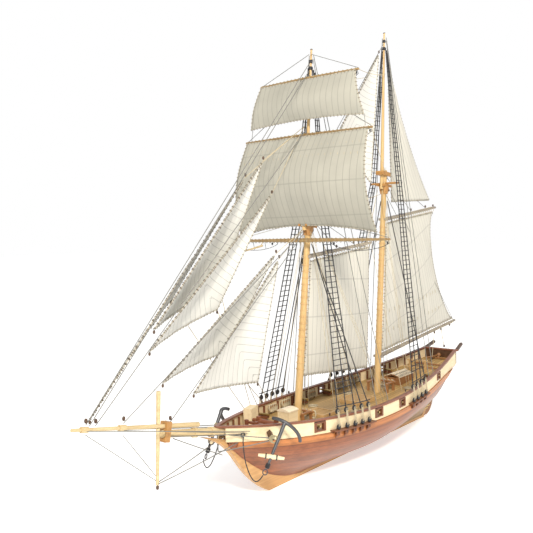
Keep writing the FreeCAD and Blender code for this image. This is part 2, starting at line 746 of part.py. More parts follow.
# Stays in the centre plane: from, to. Backstays: from the masthead to the rail on each side.
STAYS = [
    ((55.2, 0, 342.0), (289.0, 0, 90.4)),
    ((55.9, 0, 335.6), (286.3, 0, 89.3)),
    ((60.6, 0, 288.0), (282.0, 0, 88.4)),
    ((67.6, 0, 203.0), (261.0, 0, 85.1)),
    ((67.6, 0, 201.0), (222.0, 0, 76.9)),
    ((-67.2, 0, 381.0), (60.4, 0, 243.0)),
]
BACKSTAYS = [
    ((52.4, 2.2, 346.0), (30.0, 44.4)), ((51.8, 2.2, 349.5), (12.0, 45.0)),
    ((-69.0, 2.2, 384.0), (-78.0, 38.0)), ((-69.2, 2.2, 387.0), (-92.0, 35.8)),
]
MARTINGALES = [
    ((235.0, 0, 40.0), (290.5, 0, 85.6)), ((235.3, 0, 43.0), (262.5, 0, 78.6)),
]


def make_stays():
    radius = size("stay_dia") / 2
    ropes = [rod(at(*a), at(*b), radius) for a, b in STAYS]
    for head, (x, y) in BACKSTAYS:
        ropes.append(both_sides(rod(at(*head), at(x, y, rail_z(x) + 1.2), radius)))
    for a, b in MARTINGALES:
        low, high = at(*a), at(*b)
        way = (high - low).normalize()
        ropes.append(rod(low + way * 1.8, high - way * 1.2, radius * 0.8))
    feature("stays", ropes)


# ---------- sails ----------

def sail_solid(rows, belly_way):
    """A thin curved cloth: rows of points from foot to head, thickened along belly_way."""
    push = V(belly_way).normalize() * size("sail_thickness")
    wires = [band_wire(row, [p + push for p in row]) for row in rows]
    return loft(wires)


def patch(foot_a, foot_b, head_a, head_b, belly, way, rows=6, columns=7, edge=0.35, hollow=0.0):
    """Rows of a four-cornered sail: belly at the middle, edge its share at the leeches, leech hollow."""
    grid = []
    for i in range(rows):
        v = i / (rows - 1)
        row = []
        for j in range(columns):
            u = j / (columns - 1)
            low = at(*foot_a) * (1 - u) + at(*foot_b) * u
            high = at(*head_a) * (1 - u) + at(*head_b) * u
            point = low * (1 - v) + high * v
            point.x += hollow * u * max(0.0, math.sin(math.pi * v)) ** 0.6
            depth = math.sin(math.pi * v) * (edge + (1 - edge) * math.sin(math.pi * u))
            row.append(point + V(way).normalize() * belly * depth)
        grid.append(row)
    return grid


def roach(left, right, z, rise):
    """A prism that hollows a square sail's foot by rise between its clews."""
    start, middle, end = at(0, left, z), at(0, 0, z) + V(0, 0, rise), at(0, right, z)
    drop = V(0, 0, -20)
    edges = [Part.Arc(start, middle, end).toShape(), Part.makeLine(end, end + drop),
             Part.makeLine(end + drop, start + drop), Part.makeLine(start + drop, start)]
    return Part.Face(Part.Wire(edges)).extrude(V(160, 0, 0))


FORE_YARD_AT, TOPSAIL_YARD_AT, TOPGALLANT_YARD_AT = (70.6, 0, 194.8), (63.4, 0, 281.6), (58.4, 0, 329.0)


def make_square_rig():
    yard("fore_yard", at(*FORE_YARD_AT), "fore_yard_length")
    yard("topsail_yard", at(*TOPSAIL_YARD_AT), "topsail_yard_length")
    yard("topgallant_yard", at(*TOPGALLANT_YARD_AT), "topgallant_yard_length")
    ahead = size("yard_dia") / 2 + 0.5
    topsail = patch((66.0 + ahead, -70, 200.5), (66.0 + ahead, 70, 200.5), (63.4 + ahead, -62, 280.6),
                    (63.4 + ahead, 62, 280.6), 17.0, (1, 0, 0), edge=0.62)
    topgallant = patch((62.0 + ahead, -58, 292.5), (62.0 + ahead, 58, 292.5), (58.4 + ahead, -48.5, 328.0),
                       (58.4 + ahead, 48.5, 328.0), 6.0, (1, 0, 0), edge=0.5)
    feature("topsail", sail_solid(topsail, (1, 0, 0)).cut(roach(-70, 70, 200.5, 6.5)))
    feature("topgallant_sail", sail_solid(topgallant, (1, 0, 0)).cut(roach(-58, 58, 292.5, 2.5)))


def jib(tack, head, clew, belly, swing, hollow=0.0):
    """A triangular sail: rows run from the luff to the leech; swing is its bulging side."""
    grid = []
    rows = 7
    for i in range(rows):
        v = i / (rows - 1)
        row = []
        luff = at(*tack) + (at(*head) - at(*tack)) * (0.985 * v)
        leech = at(*clew) + (at(*head) - at(*clew)) * (0.97 * v)
        leech.x += hollow * max(0.0, math.sin(math.pi * v)) ** 0.8
        for j in range(7):
            u = j / 6
            point = luff * (1 - u) + leech * u
            depth = math.sin(math.pi * u) ** 0.9 * (1 - v) ** 0.7 * math.sin(math.pi * (0.22 + 0.6 * v))
            row.append(point + V(0, swing * belly * depth, 0))
        grid.append(row)
    return grid


JIBS = [
    ("flying_jib", (284.6, -0.9, 93.2), (139.0, -0.9, 243.6), (196.0, -24, 156), 3.0, -1),
    ("outer_jib", (232.0, -0.9, 141.0), (117.5, -0.9, 257.5), (152.0, -18, 160), 8.0, -1),
    ("inner_jib", (236.4, -0.9, 127.2), (108.0, -0.9, 231.5), (158.5, -15, 145.2), 8.0, -1),
    ("fore_staysail", (226.0, -0.9, 104.2), (104.6, -0.9, 184.6), (152.5, -15, 111.6), 7.0, -1),
    ("storm_jib", (198.0, -0.9, 91.6), (100.8, -0.9, 180.2), (121.0, -9, 84.0), 7.0, -1),
]


def make_staysails():
    for name, tack, head, clew, belly, swing in JIBS:
        feature(name, sail_solid(jib(tack, head, clew, belly, swing), (0, swing, 0)))
    rows = jib((10.0, -0.9, 291.0), (-59.5, -0.9, 370.0), (-44.0, -2.4, 246.5), 4.0, -1)
    feature("main_topmast_staysail", sail_solid(rows, (0, -1, 0)))


def jaws(mast, z, way):
    """A half-round jaw that hugs a mast from behind, open forward."""
    inner = mast.radius(z, size("mast_dia"), LOWER_THIN) + GAP
    full = ring(mast.point(z), mast.axis(), inner, inner + 1.5, 2.2)
    centre = mast.point(z)
    front = Part.makeBox(20, 20, 20, V(centre.x + 1.2, -10, centre.z - 10))
    return full.cut(front)


def gaff_spar(name, mast, z, end, dia):
    start = mast.point(z) - V(mast.radius(z, size("mast_dia"), LOWER_THIN) + GAP + 0.6, 0, 0)
    bar = rod(start, at(*end), size(dia) / 2, size(dia) / 2 * 0.62)
    clear = rod(mast.point(z - 12), mast.point(z + 12), mast.radius(z, size("mast_dia"), LOWER_THIN) + GAP)
    feature(name, bar.fuse(jaws(mast, z, 1)).cut(clear).removeSplitter())


def make_gaff_rig():
    gaff_spar("fore_gaff", FORE_LOWER, 181.0, (-38.2, 0, 189.5), "gaff_dia")
    gaff_spar("main_gaff", MAIN_LOWER, 211.5, (-173.0, 0, 224.0), "gaff_dia")
    gaff_spar("main_boom", MAIN_LOWER, 79.0, (-219.3, 0, 94.2), "boom_dia")
    lower = size("gaff_dia") / 2 + 0.5
    foresail = patch((73.0, 0, 82.0), (-26.0, 0, 72.0), (59.6, 0, 179.2 - lower), (-33.5, 0, 187.4 - lower),
                     5.0, (0, 1, 0), edge=0.1)
    main = patch((-54.5, 0, 83.5), (-211.0, 0, 97.5), (-67.0, 0, 209.8 - lower), (-166.0, 0, 220.8 - lower),
                 7.0, (0, 1, 0), rows=9, edge=0.1, hollow=22.0)
    topsail = jib((-78.0, 0, 229.0), (-74.8, 0, 368.0), (-158.0, 0, 232.0), 5.0, 1, hollow=9.0)
    feature("foresail", sail_solid(foresail, (0, 1, 0)))
    feature("mainsail", sail_solid(main, (0, 1, 0)))
    feature("gaff_topsail", sail_solid(topsail, (0, 1, 0)))


# ---------- ground tackle ----------

ANCHOR_CROWN, ANCHOR_RING = (138.7, 32.0, 62.6), (158.7, 30.0, 33.0)
ARM_OUT, ARM_IN = (127.6, 37.0, 46.6), (141.0, 22.4, 64.6)
STOCK_AT = (153.6, 30.5, 40.5)


def make_anchors():
    crown, low = at(*ANCHOR_CROWN), at(*ANCHOR_RING)
    shank = rod(crown, low, 1.5, 0.9)
    arc = Part.Arc(at(*ARM_OUT), crown, at(*ARM_IN)).toShape()
    start = at(*ARM_OUT)
    profile = Part.Wire([Part.Circle(start, arc.tangentAt(arc.FirstParameter), 1.3).toShape()])
    arms = Part.Wire([arc]).makePipeShell([profile], True, True)
    way = (low - crown).normalize()
    eye = Part.makeTorus(1.9, 0.4, low + way * 2.6, V(0.4, 1, 0.1))
    whole = shank.fuse([arms])
    feature("anchors", [both_sides(whole), both_sides(eye)])
    middle = at(*STOCK_AT)
    reach = V(-6.0, 7.2, -1.6)
    out_half, in_half = rod(middle, middle + reach, 1.9, 1.0), rod(middle, middle - reach, 1.9, 1.0)
    stock = out_half.fuse(in_half).cut(rod(crown - way * 5, low + way * 5, 1.32))
    feature("anchor_stocks", both_sides(stock))


def davits():
    """The two timbers that stand out over the stern from the taffrail's corners."""
    horns = []
    for side in (-1, 1):
        start, end = at(-183.4, side * 18.6, 66.0), at(-200.5, side * 16.4, 70.8)
        way = end - start
        horn = Part.makeBox(2.6, 3.0, way.Length, V(-1.3, -1.5, 0))
        horn.Placement = FreeCAD.Placement(start, turn_to(way))
        horns.append(horn)
    return horns


def make_catheads():
    start, end = at(143.4, 20.6, 54.4), at(149.2, 27.6, 51.6)
    way = end - start
    beam = Part.makeBox(3.2, 3.2, way.Length, V(-1.6, -1.6, 0))
    beam.Placement = FreeCAD.Placement(start, turn_to(way))
    feature("catheads_and_davits", [both_sides(beam)] + davits())


CABLE_DIA = 0.8
CABLE_ROUTE = [(162.7, 30.0, 29.4), (163.9, 28.6, 26.8), (164.6, 26.4, 24.6), (165.2, 23.6, 24.4),
               (165.2, 20.2, 27.2), (165.0, 17.4, 31.8), (164.6, 15.0, 37.0), (163.6, 13.0, 43.2),
               (162.8, 11.8, 49.6), (161.9, 11.2, 54.6)]


def cord_tube(points, dia):
    """A tube of straight runs joined by tangent arcs; prints its tightest radius and volume check."""
    edges, radii = [], []
    last = points[0]
    for before, corner, after in zip(points, points[1:], points[2:]):
        back, ahead = corner - before, after - corner
        turn = back.getAngle(ahead)
        short = min(back.Length, ahead.Length)
        tangent = 0.45 * short
        radii.append(tangent / math.tan(turn / 2))
        entry = corner - V(back).normalize() * tangent
        leave = corner + V(ahead).normalize() * tangent
        bisector = (V(ahead).normalize() - V(back).normalize()).normalize()
        centre = corner + bisector * math.hypot(tangent, radii[-1])
        middle = centre - bisector * radii[-1]
        edges.append(Part.makeLine(last, entry))
        edges.append(Part.Arc(entry, middle, leave).toShape())
        last = leave
    edges.append(Part.makeLine(last, points[-1]))
    path = Part.Wire(edges)
    profile = Part.Wire([Part.Circle(points[0], points[1] - points[0], dia / 2).toShape()])
    tube = path.makePipeShell([profile], True, False)
    whole = math.pi * dia * dia / 4 * path.Length
    print("cord length %.1f, least radius %.2f, volume ratio %.4f" % (path.Length, min(radii), tube.Volume / whole))
    return tube


def make_cables():
    port = [at(*p) for p in CABLE_ROUTE]
    feature("anchor_cable_port", cord_tube(port, CABLE_DIA))
    feature("anchor_cable_starboard", cord_tube(mirrored(port), CABLE_DIA))


# ---------- deck fittings ----------

def deck_room():
    """The deck and the space under it: what stands on the deck is trimmed to this."""
    wires = []
    for x in range(-172, 165, 12):
        half, crown = at(x, rail_half(x), 0).y, size("deck_camber")
        here, low = at(x, 0, 0).x, real_z(deck_z(x))
        top = low + size("deck_thickness") + 0.12
        arch = Part.Arc(V(here, half, top), V(here, 0, top + crown), V(here, -half, top)).toShape()
        base = [V(here, -half, top), V(here, -half, low - 9), V(here, half, low - 9), V(here, half, top)]
        wires.append(Part.Wire([arch] + [Part.makeLine(a, b) for a, b in zip(base, base[1:])]))
    return loft(wires)


ROOM = deck_room()


def deck_point(x, y=0.0, up=0.0):
    """A point above the deck's crown at x."""
    p = at(x, y, 0)
    return V(p.x, p.y, real_z(deck_z(x)) + size("deck_thickness") + size("deck_camber") + 0.15 + up)


def block_on_deck(x, y, sx, sy, sz, up=0.0):
    p = deck_point(x, y, up)
    return box(p + V(0, 0, sz / 2 - 1.5), sx, sy, sz + 3.0).cut(ROOM)


HATCH_X, HATCH_LONG, HATCH_WIDE, HATCH_HIGH = 95.0, 12.0, 11.5, 10.6


def make_booby_hatch():
    p = deck_point(HATCH_X)
    body = doc.addObject("Part::Box", "booby_hatch_outer")
    body.Length, body.Width, body.Height = HATCH_LONG, HATCH_WIDE, HATCH_HIGH + 3
    body.Placement.Base = p + V(-HATCH_LONG / 2, -HATCH_WIDE / 2, -3)
    well = doc.addObject("Part::Box", "booby_hatch_well")
    well.Length, well.Width, well.Height = HATCH_LONG - 2.4, HATCH_WIDE - 2.4, HATCH_HIGH
    well.Placement.Base = p + V(-HATCH_LONG / 2 + 1.2, -HATCH_WIDE / 2 + 1.2, 1.6)
    room = doc.addObject("Part::Feature", "deck_room")
    room.Shape = ROOM
    tools = doc.addObject("Part::Compound", "booby_hatch_tools")
    tools.Links = [well, room]
    obj = doc.addObject("Part::Cut", "booby_hatch")
    obj.Base, obj.Tool, obj.Label = body, tools, "booby_hatch"
    nodes.append(obj)
    top = p + V(-HATCH_LONG / 2 - 0.5, 0, HATCH_HIGH + 0.15)
    half, crown = HATCH_WIDE / 2 + 0.5, 2.4
    arch = Part.Arc(top + V(0, -half, 0.9), top + V(0, 0, crown), top + V(0, half, 0.9)).toShape()
    ends = [top + V(0, half, 0.9), top + V(0, half, 0), top + V(0, -half, 0), top + V(0, -half, 0.9)]
    wire = Part.Wire([arch] + [Part.makeLine(a, b) for a, b in zip(ends, ends[1:])])
    feature("booby_hatch_roof", Part.Face(wire).extrude(V(HATCH_LONG + 1.0, 0, 0)))


def grating(x, sx, sy, high):
    """Coaming frame with slats across it."""
    inner = box(deck_point(x), sx - 3.0, sy - 3.0, 20)
    frame = block_on_deck(x, 0, sx, sy, high).cut(inner)
    slats = []
    count = int((sx - 3.0) / 2.1)
    pitch = (sx - 3.0) / count
    for k in range(count - 1):
        slat_x = deck_point(x).x - (sx - 3.0) / 2 + pitch * (k + 1)
        centre = V(slat_x, 0, deck_point(x).z + high - 0.9)
        slats.append(box(centre, 0.9, sy - 3.2, 0.9).cut(ROOM))
    return frame, slats


def make_gratings():
    frames, slats = [], []
    for x, sx, sy, high in ((50.0, 19.0, 21.0, 2.4), (-8.0, 27.0, 24.0, 3.0)):
        frame, bars = grating(x, sx, sy, high)
        frames.append(frame)
        slats.extend(bars)
    feature("hatch_gratings", frames + slats)


def make_skylight():
    x, sx, sy, high = -88.0, 28.0, 18.0, 6.2
    p = deck_point(x)
    walls = box(p + V(0, 0, high / 2 - 2), sx, sy, high + 4).cut(ROOM)
    walls = walls.cut(box(p + V(0, 0, high / 2 + 2.4), sx - 2.4, sy - 2.4, high))
    roof_low, ridge = p + V(-sx / 2, 0, high + 0.1), 3.0
    wire = quad_wire([roof_low + V(0, -sy / 2, 0), roof_low + V(0, 0, ridge), roof_low + V(0, sy / 2, 0),
                      roof_low + V(0, sy / 2 - 1.6, 0), roof_low + V(0, 0, ridge - 1.0),
                      roof_low + V(0, -sy / 2 + 1.6, 0)])
    roof = Part.Face(wire).extrude(V(sx, 0, 0))
    feature("skylight", [walls, roof])


def make_windlass():
    bitts = []
    for side in (-1, 1):
        bitts.append(block_on_deck(121.0, side * 9.0, 3.0, 2.4, 8.5))
        knee = block_on_deck(124.6, side * 9.0, 4.0, 1.8, 3.6)
        bitts.append(knee)
        bitts.append(block_on_deck(140.0, side * 5.0, 2.4, 2.4, 9.0))
    bitts.append(box(deck_point(137.0) + V(0, 0, 6.6), 1.8, 17.5, 1.8))
    centre = deck_point(121.0, 0, 4.6)
    bore = rod(centre + V(0, -20, 0), centre + V(0, 20, 0), 0.85)
    bitts = [piece.cut(bore) for piece in bitts]
    feature("windlass_bitts", bitts)
    inside = at(0, 9.0, 0).y - 1.2 - GAP
    barrel = rod(centre + V(0, -inside, 0), centre + V(0, inside, 0), 2.3)
    outer = at(0, 9.0, 0).y + 1.2
    for side in (-1, 1):
        axle_start = centre + V(0, side * (inside - 0.2), 0)
        barrel = barrel.fuse(rod(axle_start, centre + V(0, side * (outer + GAP + 0.2), 0), 0.8))
        drum_start = centre + V(0, side * (outer + GAP), 0)
        barrel = barrel.fuse(rod(drum_start, drum_start + V(0, side * 4.0, 0), 2.0, 1.6))
    feature("windlass_barrel", barrel.removeSplitter())


def fife_rail(mast_x, back, half, high):
    """Two posts and a crossbar behind a mast."""
    x = mast_x - back
    parts = [block_on_deck(x, side * half, 2.2, 2.2, high) for side in (-1, 1)]
    bar = box(deck_point(x) + V(0, 0, high + 0.75), 3.0, 2 * at(0, half, 0).y + 5, 1.3)
    arms = [box(deck_point(x + 7.6) + V(0, side * at(0, half, 0).y, high + 0.75), 11.0, 2.4, 1.3) for side in (-1, 1)]
    fore_posts = [block_on_deck(x + 11.5, side * half, 2.0, 2.0, high) for side in (-1, 1)]
    return parts + fore_posts + [bar], arms


PIN_RADIUS, PIN_LONG = 0.45, 5.6
PIN_RAILS = (72.0, 50.0, 8.0, -38.0, -62.0)


def make_rails_and_pins():
    rails, pins = [], []
    for x, back, half, high in ((78.0, 6.0, 6.5, 6.2), (-46.5, 11.0, 10.5, 7.4)):
        solid, arms = fife_rail(x, back, half, high)
        rails.extend(solid + arms)
        bar_x, z = deck_point(x - back).x, deck_point(x - back).z + high + 0.75
        for k in range(5):
            y = (k - 2) * 4.2
            pins.append(rod(V(bar_x, y, z - PIN_LONG * 0.55), V(bar_x, y, z + PIN_LONG * 0.45), PIN_RADIUS))
    for x in PIN_RAILS:
        edge = at(x, rail_half(x), 0)
        z = real_z(rail_z(x)) - RAIL - 2.4
        turn = side_turn(x)
        normal = V(-math.sin(math.radians(turn)), math.cos(math.radians(turn)), 0)
        tangent = V(math.cos(math.radians(turn)), math.sin(math.radians(turn)), 0)
        middle = V(edge.x, edge.y, z) - normal * (PLANK + 3.1)
        rails.append(both_sides(box(middle, 12.5, 2.4, 1.1, turn)))
        for k in range(4):
            foot = middle + tangent * ((k - 1.5) * 3.0)
            pin = rod(foot - V(0, 0, PIN_LONG * 0.5), foot + V(0, 0, PIN_LONG * 0.5), PIN_RADIUS)
            pins.append(both_sides(pin))
    holes = Part.Compound(solids_of([p.copy() for p in pins]))
    wide = [Part.makeCylinder(PIN_RADIUS + 0.05, 8, V(s.CenterOfMass.x, s.CenterOfMass.y, s.CenterOfMass.z - 4))
            for s in holes.Solids]
    drilled = [solid.cut(wide) for solid in solids_of(rails)]
    feature("pin_rails", drilled)
    feature("belaying_pins", pins)


def make_guns():
    carriages, barrels = [], []
    for x in PORTS[:3] + (PORTS[3],):
        turn = side_turn(x)
        normal = V(-math.sin(math.radians(turn)), math.cos(math.radians(turn)), 0)
        edge = at(x, rail_half(x), 0)
        base = V(edge.x, edge.y, real_z(deck_z(x)) + size("deck_thickness") + size("deck_camber") + 0.1)
        middle = base - normal * (PLANK + 7.4)
        carriages.append(both_sides(box(middle + V(0, 0, 1.5), 4.4, 9.0, 1.6, turn)))
        for along_y in (-3.0, 3.0):
            axle = middle + normal * along_y + V(0, 0, 0.65)
            carriages.append(both_sides(box(axle, 5.6, 1.2, 0.0 + 1.0, turn)))
        start = middle - normal * 5.2 + V(0, 0, 3.7)
        muzzle = middle + normal * 9.6 + V(0, 0, 3.9)
        barrels.append(both_sides(rod(start, muzzle, 1.25, 0.8)))
    feature("gun_carriages", carriages)
    feature("gun_barrels", barrels)


def make_stern_fittings():
    gallows = [block_on_deck(-128.0, side * 9.0, 2.0, 2.0, 10.0) for side in (-1, 1)]
    gallows.append(box(deck_point(-128.0) + V(0, 0, 10.9), 2.4, 24.0, 1.6))
    gallows += [block_on_deck(-116.0, side * 6.5, 1.8, 1.8, 6.4) for side in (-1, 1)]
    gallows.append(box(deck_point(-116.0) + V(0, 0, 7.3), 2.2, 18.0, 1.4))
    feature("stern_gallows", gallows)
    locker = box(at(117.5, -20.2, 0) + V(0, 0, real_z(deck_z(113)) + 9.6), 14.0, 7.0, 14.0, -side_turn(117))
    feature("bow_locker", locker)


make_keel()
make_stem()
make_frames()
make_planking()
make_wales()
make_bulwarks()
make_port_frames()
make_cap_rails()
make_transom()
make_deck()
make_masts()
make_mastheads()
make_hoops()
make_bowsprit()
make_rudder()
make_channels()
make_deadeyes()
make_shrouds()
make_stays()
make_square_rig()
make_staysails()
make_gaff_rig()
make_anchors()
make_catheads()
make_cables()
make_booby_hatch()
make_gratings()
make_skylight()
make_windlass()
make_rails_and_pins()
make_guns()
make_stern_fittings()

doc.recompute()
for obj in doc.Objects:
    if "Invalid" in obj.State or "Error" in obj.State:
        raise RuntimeError("object %s is %s" % (obj.Label, obj.State))
bad = []
for obj in nodes:
    if obj.Shape.isNull() or not obj.Shape.isValid() or obj.Shape.Volume <= 0:
        bad.append(obj.Label)
    print("%-24s %3d solids %10.1f mm3" % (obj.Label, len(obj.Shape.Solids), obj.Shape.Volume))
if bad:
    raise RuntimeError("sub-parts with a bad shape: %s" % ", ".join(bad))
os.makedirs("parts", exist_ok=True)
for obj in nodes:
    obj.Shape.exportStep("parts/%s.step" % obj.Label)
print(len(nodes), "sub-parts written")
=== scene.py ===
import math

import bpy
from mathutils import Matrix, Vector, noise


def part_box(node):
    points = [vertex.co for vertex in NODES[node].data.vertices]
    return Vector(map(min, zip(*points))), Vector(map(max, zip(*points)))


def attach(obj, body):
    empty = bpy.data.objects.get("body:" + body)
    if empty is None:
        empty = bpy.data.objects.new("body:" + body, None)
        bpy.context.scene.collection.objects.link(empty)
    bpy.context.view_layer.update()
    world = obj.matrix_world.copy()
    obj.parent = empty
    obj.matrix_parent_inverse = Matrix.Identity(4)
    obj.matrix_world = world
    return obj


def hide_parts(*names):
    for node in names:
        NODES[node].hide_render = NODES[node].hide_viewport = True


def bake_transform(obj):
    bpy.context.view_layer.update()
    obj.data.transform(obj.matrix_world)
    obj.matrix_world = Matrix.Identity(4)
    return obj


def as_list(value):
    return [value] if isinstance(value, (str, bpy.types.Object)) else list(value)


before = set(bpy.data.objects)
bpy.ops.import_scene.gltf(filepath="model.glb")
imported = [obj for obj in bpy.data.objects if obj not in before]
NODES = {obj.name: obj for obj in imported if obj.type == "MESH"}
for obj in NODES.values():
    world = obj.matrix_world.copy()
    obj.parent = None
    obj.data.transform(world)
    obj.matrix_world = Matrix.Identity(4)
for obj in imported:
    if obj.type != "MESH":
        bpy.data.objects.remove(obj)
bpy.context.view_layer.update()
MM = 0.001


def mm(x, y, z):
    return Vector((x, y, z)) * MM


# ---------- the ship's lines, in millimetres ----------

def rail_half(x):
    """Half the hull's width at the rail: a cubic Bezier curve from stern to bow."""
    u = min(1.0, max(0.0, (x + 180) / 360))
    return 19.1 * (1 - u) ** 3 + 131.5 * u * (1 - u) ** 2 + 211.9 * u * u * (1 - u)


def rail_z(x):
    """Height of the rail: a quadratic Bezier curve from stern to bow."""
    u = min(1.0, max(0.0, (x + 180) / 360))
    return 67.2 * (1 - u) ** 2 + 81.4 * u * (1 - u) + 64.0 * u * u


def deck_top(x):
    return rail_z(x) - 12 + 0.05 + 2.35


class MastLine:
    """A mast's raked axis in the plane of symmetry."""

    def __init__(self, foot, foot_z, top, top_z):
        self.foot, self.foot_z, self.top, self.top_z = foot, foot_z, top, top_z

    def x(self, z):
        return self.foot + (self.top - self.foot) * (z - self.foot_z) / (self.top_z - self.foot_z)

    def at(self, z):
        return Vector((self.x(z), 0, z))


FORE_LOWER = MastLine(84.6, 30.0, 59.9, 220.0)
MAIN_LOWER = MastLine(-43.1, 30.0, -65.6, 259.0)
FORE_TOP = MastLine(66.9, 203.0, 51.6, 354.0)
MAIN_TOP = MastLine(-59.6, 241.0, -69.2, 391.6)
FORE_TREES, MAIN_TREES = 207.0, 244.5
FORE_EYES = (82.0, 72.5, 63.0, 54.0, 45.0)
MAIN_EYES = (-32.0, -41.5, -51.5, -61.5)
FORE_YARD = Vector((70.6, 0, 194.8))
TOPSAIL_YARD = Vector((63.4, 0, 281.6))
TOPGALLANT_YARD = Vector((58.4, 0, 329.0))
# Each yard's body, its middle and half its length.
YARDS = (
    ("fore_yard", FORE_YARD, 83.0),
    ("topsail_yard", TOPSAIL_YARD, 65.0),
    ("topgallant_yard", TOPGALLANT_YARD, 50.5),
)


def eye_points(x, side=1):
    """The middles of the lower and the upper deadeye of one shroud."""
    half, top = rail_half(x), rail_z(x)
    return Vector((x, side * (half + 3.0), top - 7.9)), Vector((x - 0.4, side * (half + 1.6), top + 4.4))


RIGS = (
    (FORE_EYES, FORE_LOWER, FORE_TOP, FORE_TREES, 338.0),
    (MAIN_EYES, MAIN_LOWER, MAIN_TOP, MAIN_TREES, 376.0),
)


def long_shrouds(side):
    """For each mast its three ratlined shrouds: deadeye, crosstree end, topmast head."""
    groups = []
    for eyes, lower, upper, trees, head in RIGS:
        middle = (upper.at(trees) + lower.at(trees)) * 0.5
        lines = []
        for k, x in enumerate(eyes[:3]):
            knee = middle + Vector((-1.2 - 4.6 * k, side * 14.5, 2.0))
            top = upper.at(head - 2.0 * k) + Vector((0.6 - 2.0 * k, side * 2.1, 0))
            lines.append((eye_points(x, side)[1], knee, top))
        groups.append(lines)
    return groups


# ---------- materials ----------

def shader(name):
    """A material with one Principled node; returns it with its tree and its two nodes."""
    mat = bpy.data.materials.new(name)
    mat.use_nodes = True
    tree = mat.node_tree
    tree.nodes.clear()
    out = tree.nodes.new("ShaderNodeOutputMaterial")
    bsdf = tree.nodes.new("ShaderNodeBsdfPrincipled")
    tree.links.new(bsdf.outputs["BSDF"], out.inputs["Surface"])
    return mat, tree, bsdf, out


def math_node(tree, kind, a, b=None):
    """A Math node on two values, each a number or a socket; b may be left out."""
    node = tree.nodes.new("ShaderNodeMath")
    node.operation = kind
    for k, value in enumerate((a, b)):
        if value is None:
            continue
        if isinstance(value, (int, float)):
            node.inputs[k].default_value = value
        else:
            tree.links.new(value, node.inputs[k])
    return node.outputs[0]


def mix_color(tree, factor, a, b, blend="MIX"):
    """A colour Mix node; each input is a number, a colour or a socket."""
    node = tree.nodes.new("ShaderNodeMix")
    node.data_type = "RGBA"
    node.blend_type = blend
    for socket, value in ((node.inputs[0], factor), (node.inputs[6], a), (node.inputs[7], b)):
        if isinstance(value, (int, float)):
            socket.default_value = value
        elif isinstance(value, tuple):
            socket.default_value = (*value, 1.0)
        else:
            tree.links.new(value, socket)
    return node.outputs[2]


def noise_node(tree, vector, scale, detail=4.0, rough=0.6):
    node = tree.nodes.new("ShaderNodeTexNoise")
    node.inputs["Scale"].default_value = scale
    node.inputs["Detail"].default_value = detail
    node.inputs["Roughness"].default_value = rough
    tree.links.new(vector, node.inputs["Vector"])
    return node.outputs[0]


def stretched(tree, scales):
    """Object coordinates, as they are and stretched."""
    coords = tree.nodes.new("ShaderNodeTexCoord")
    mapping = tree.nodes.new("ShaderNodeMapping")
    mapping.inputs["Scale"].default_value = scales
    tree.links.new(coords.outputs["Object"], mapping.inputs["Vector"])
    return coords.outputs["Object"], mapping.outputs["Vector"]


def add_bump(tree, bsdf, height, strength, distance=0.0002):
    """Fine relief in the shading; distance is in metres."""
    node = tree.nodes.new("ShaderNodeBump")
    node.inputs["Strength"].default_value = strength
    node.inputs["Distance"].default_value = distance
    tree.links.new(height, node.inputs["Height"])
    tree.links.new(node.outputs[0], bsdf.inputs["Normal"])


GRAIN = {"x": (12, 420, 420), "y": (420, 12, 420), "z": (420, 420, 12)}


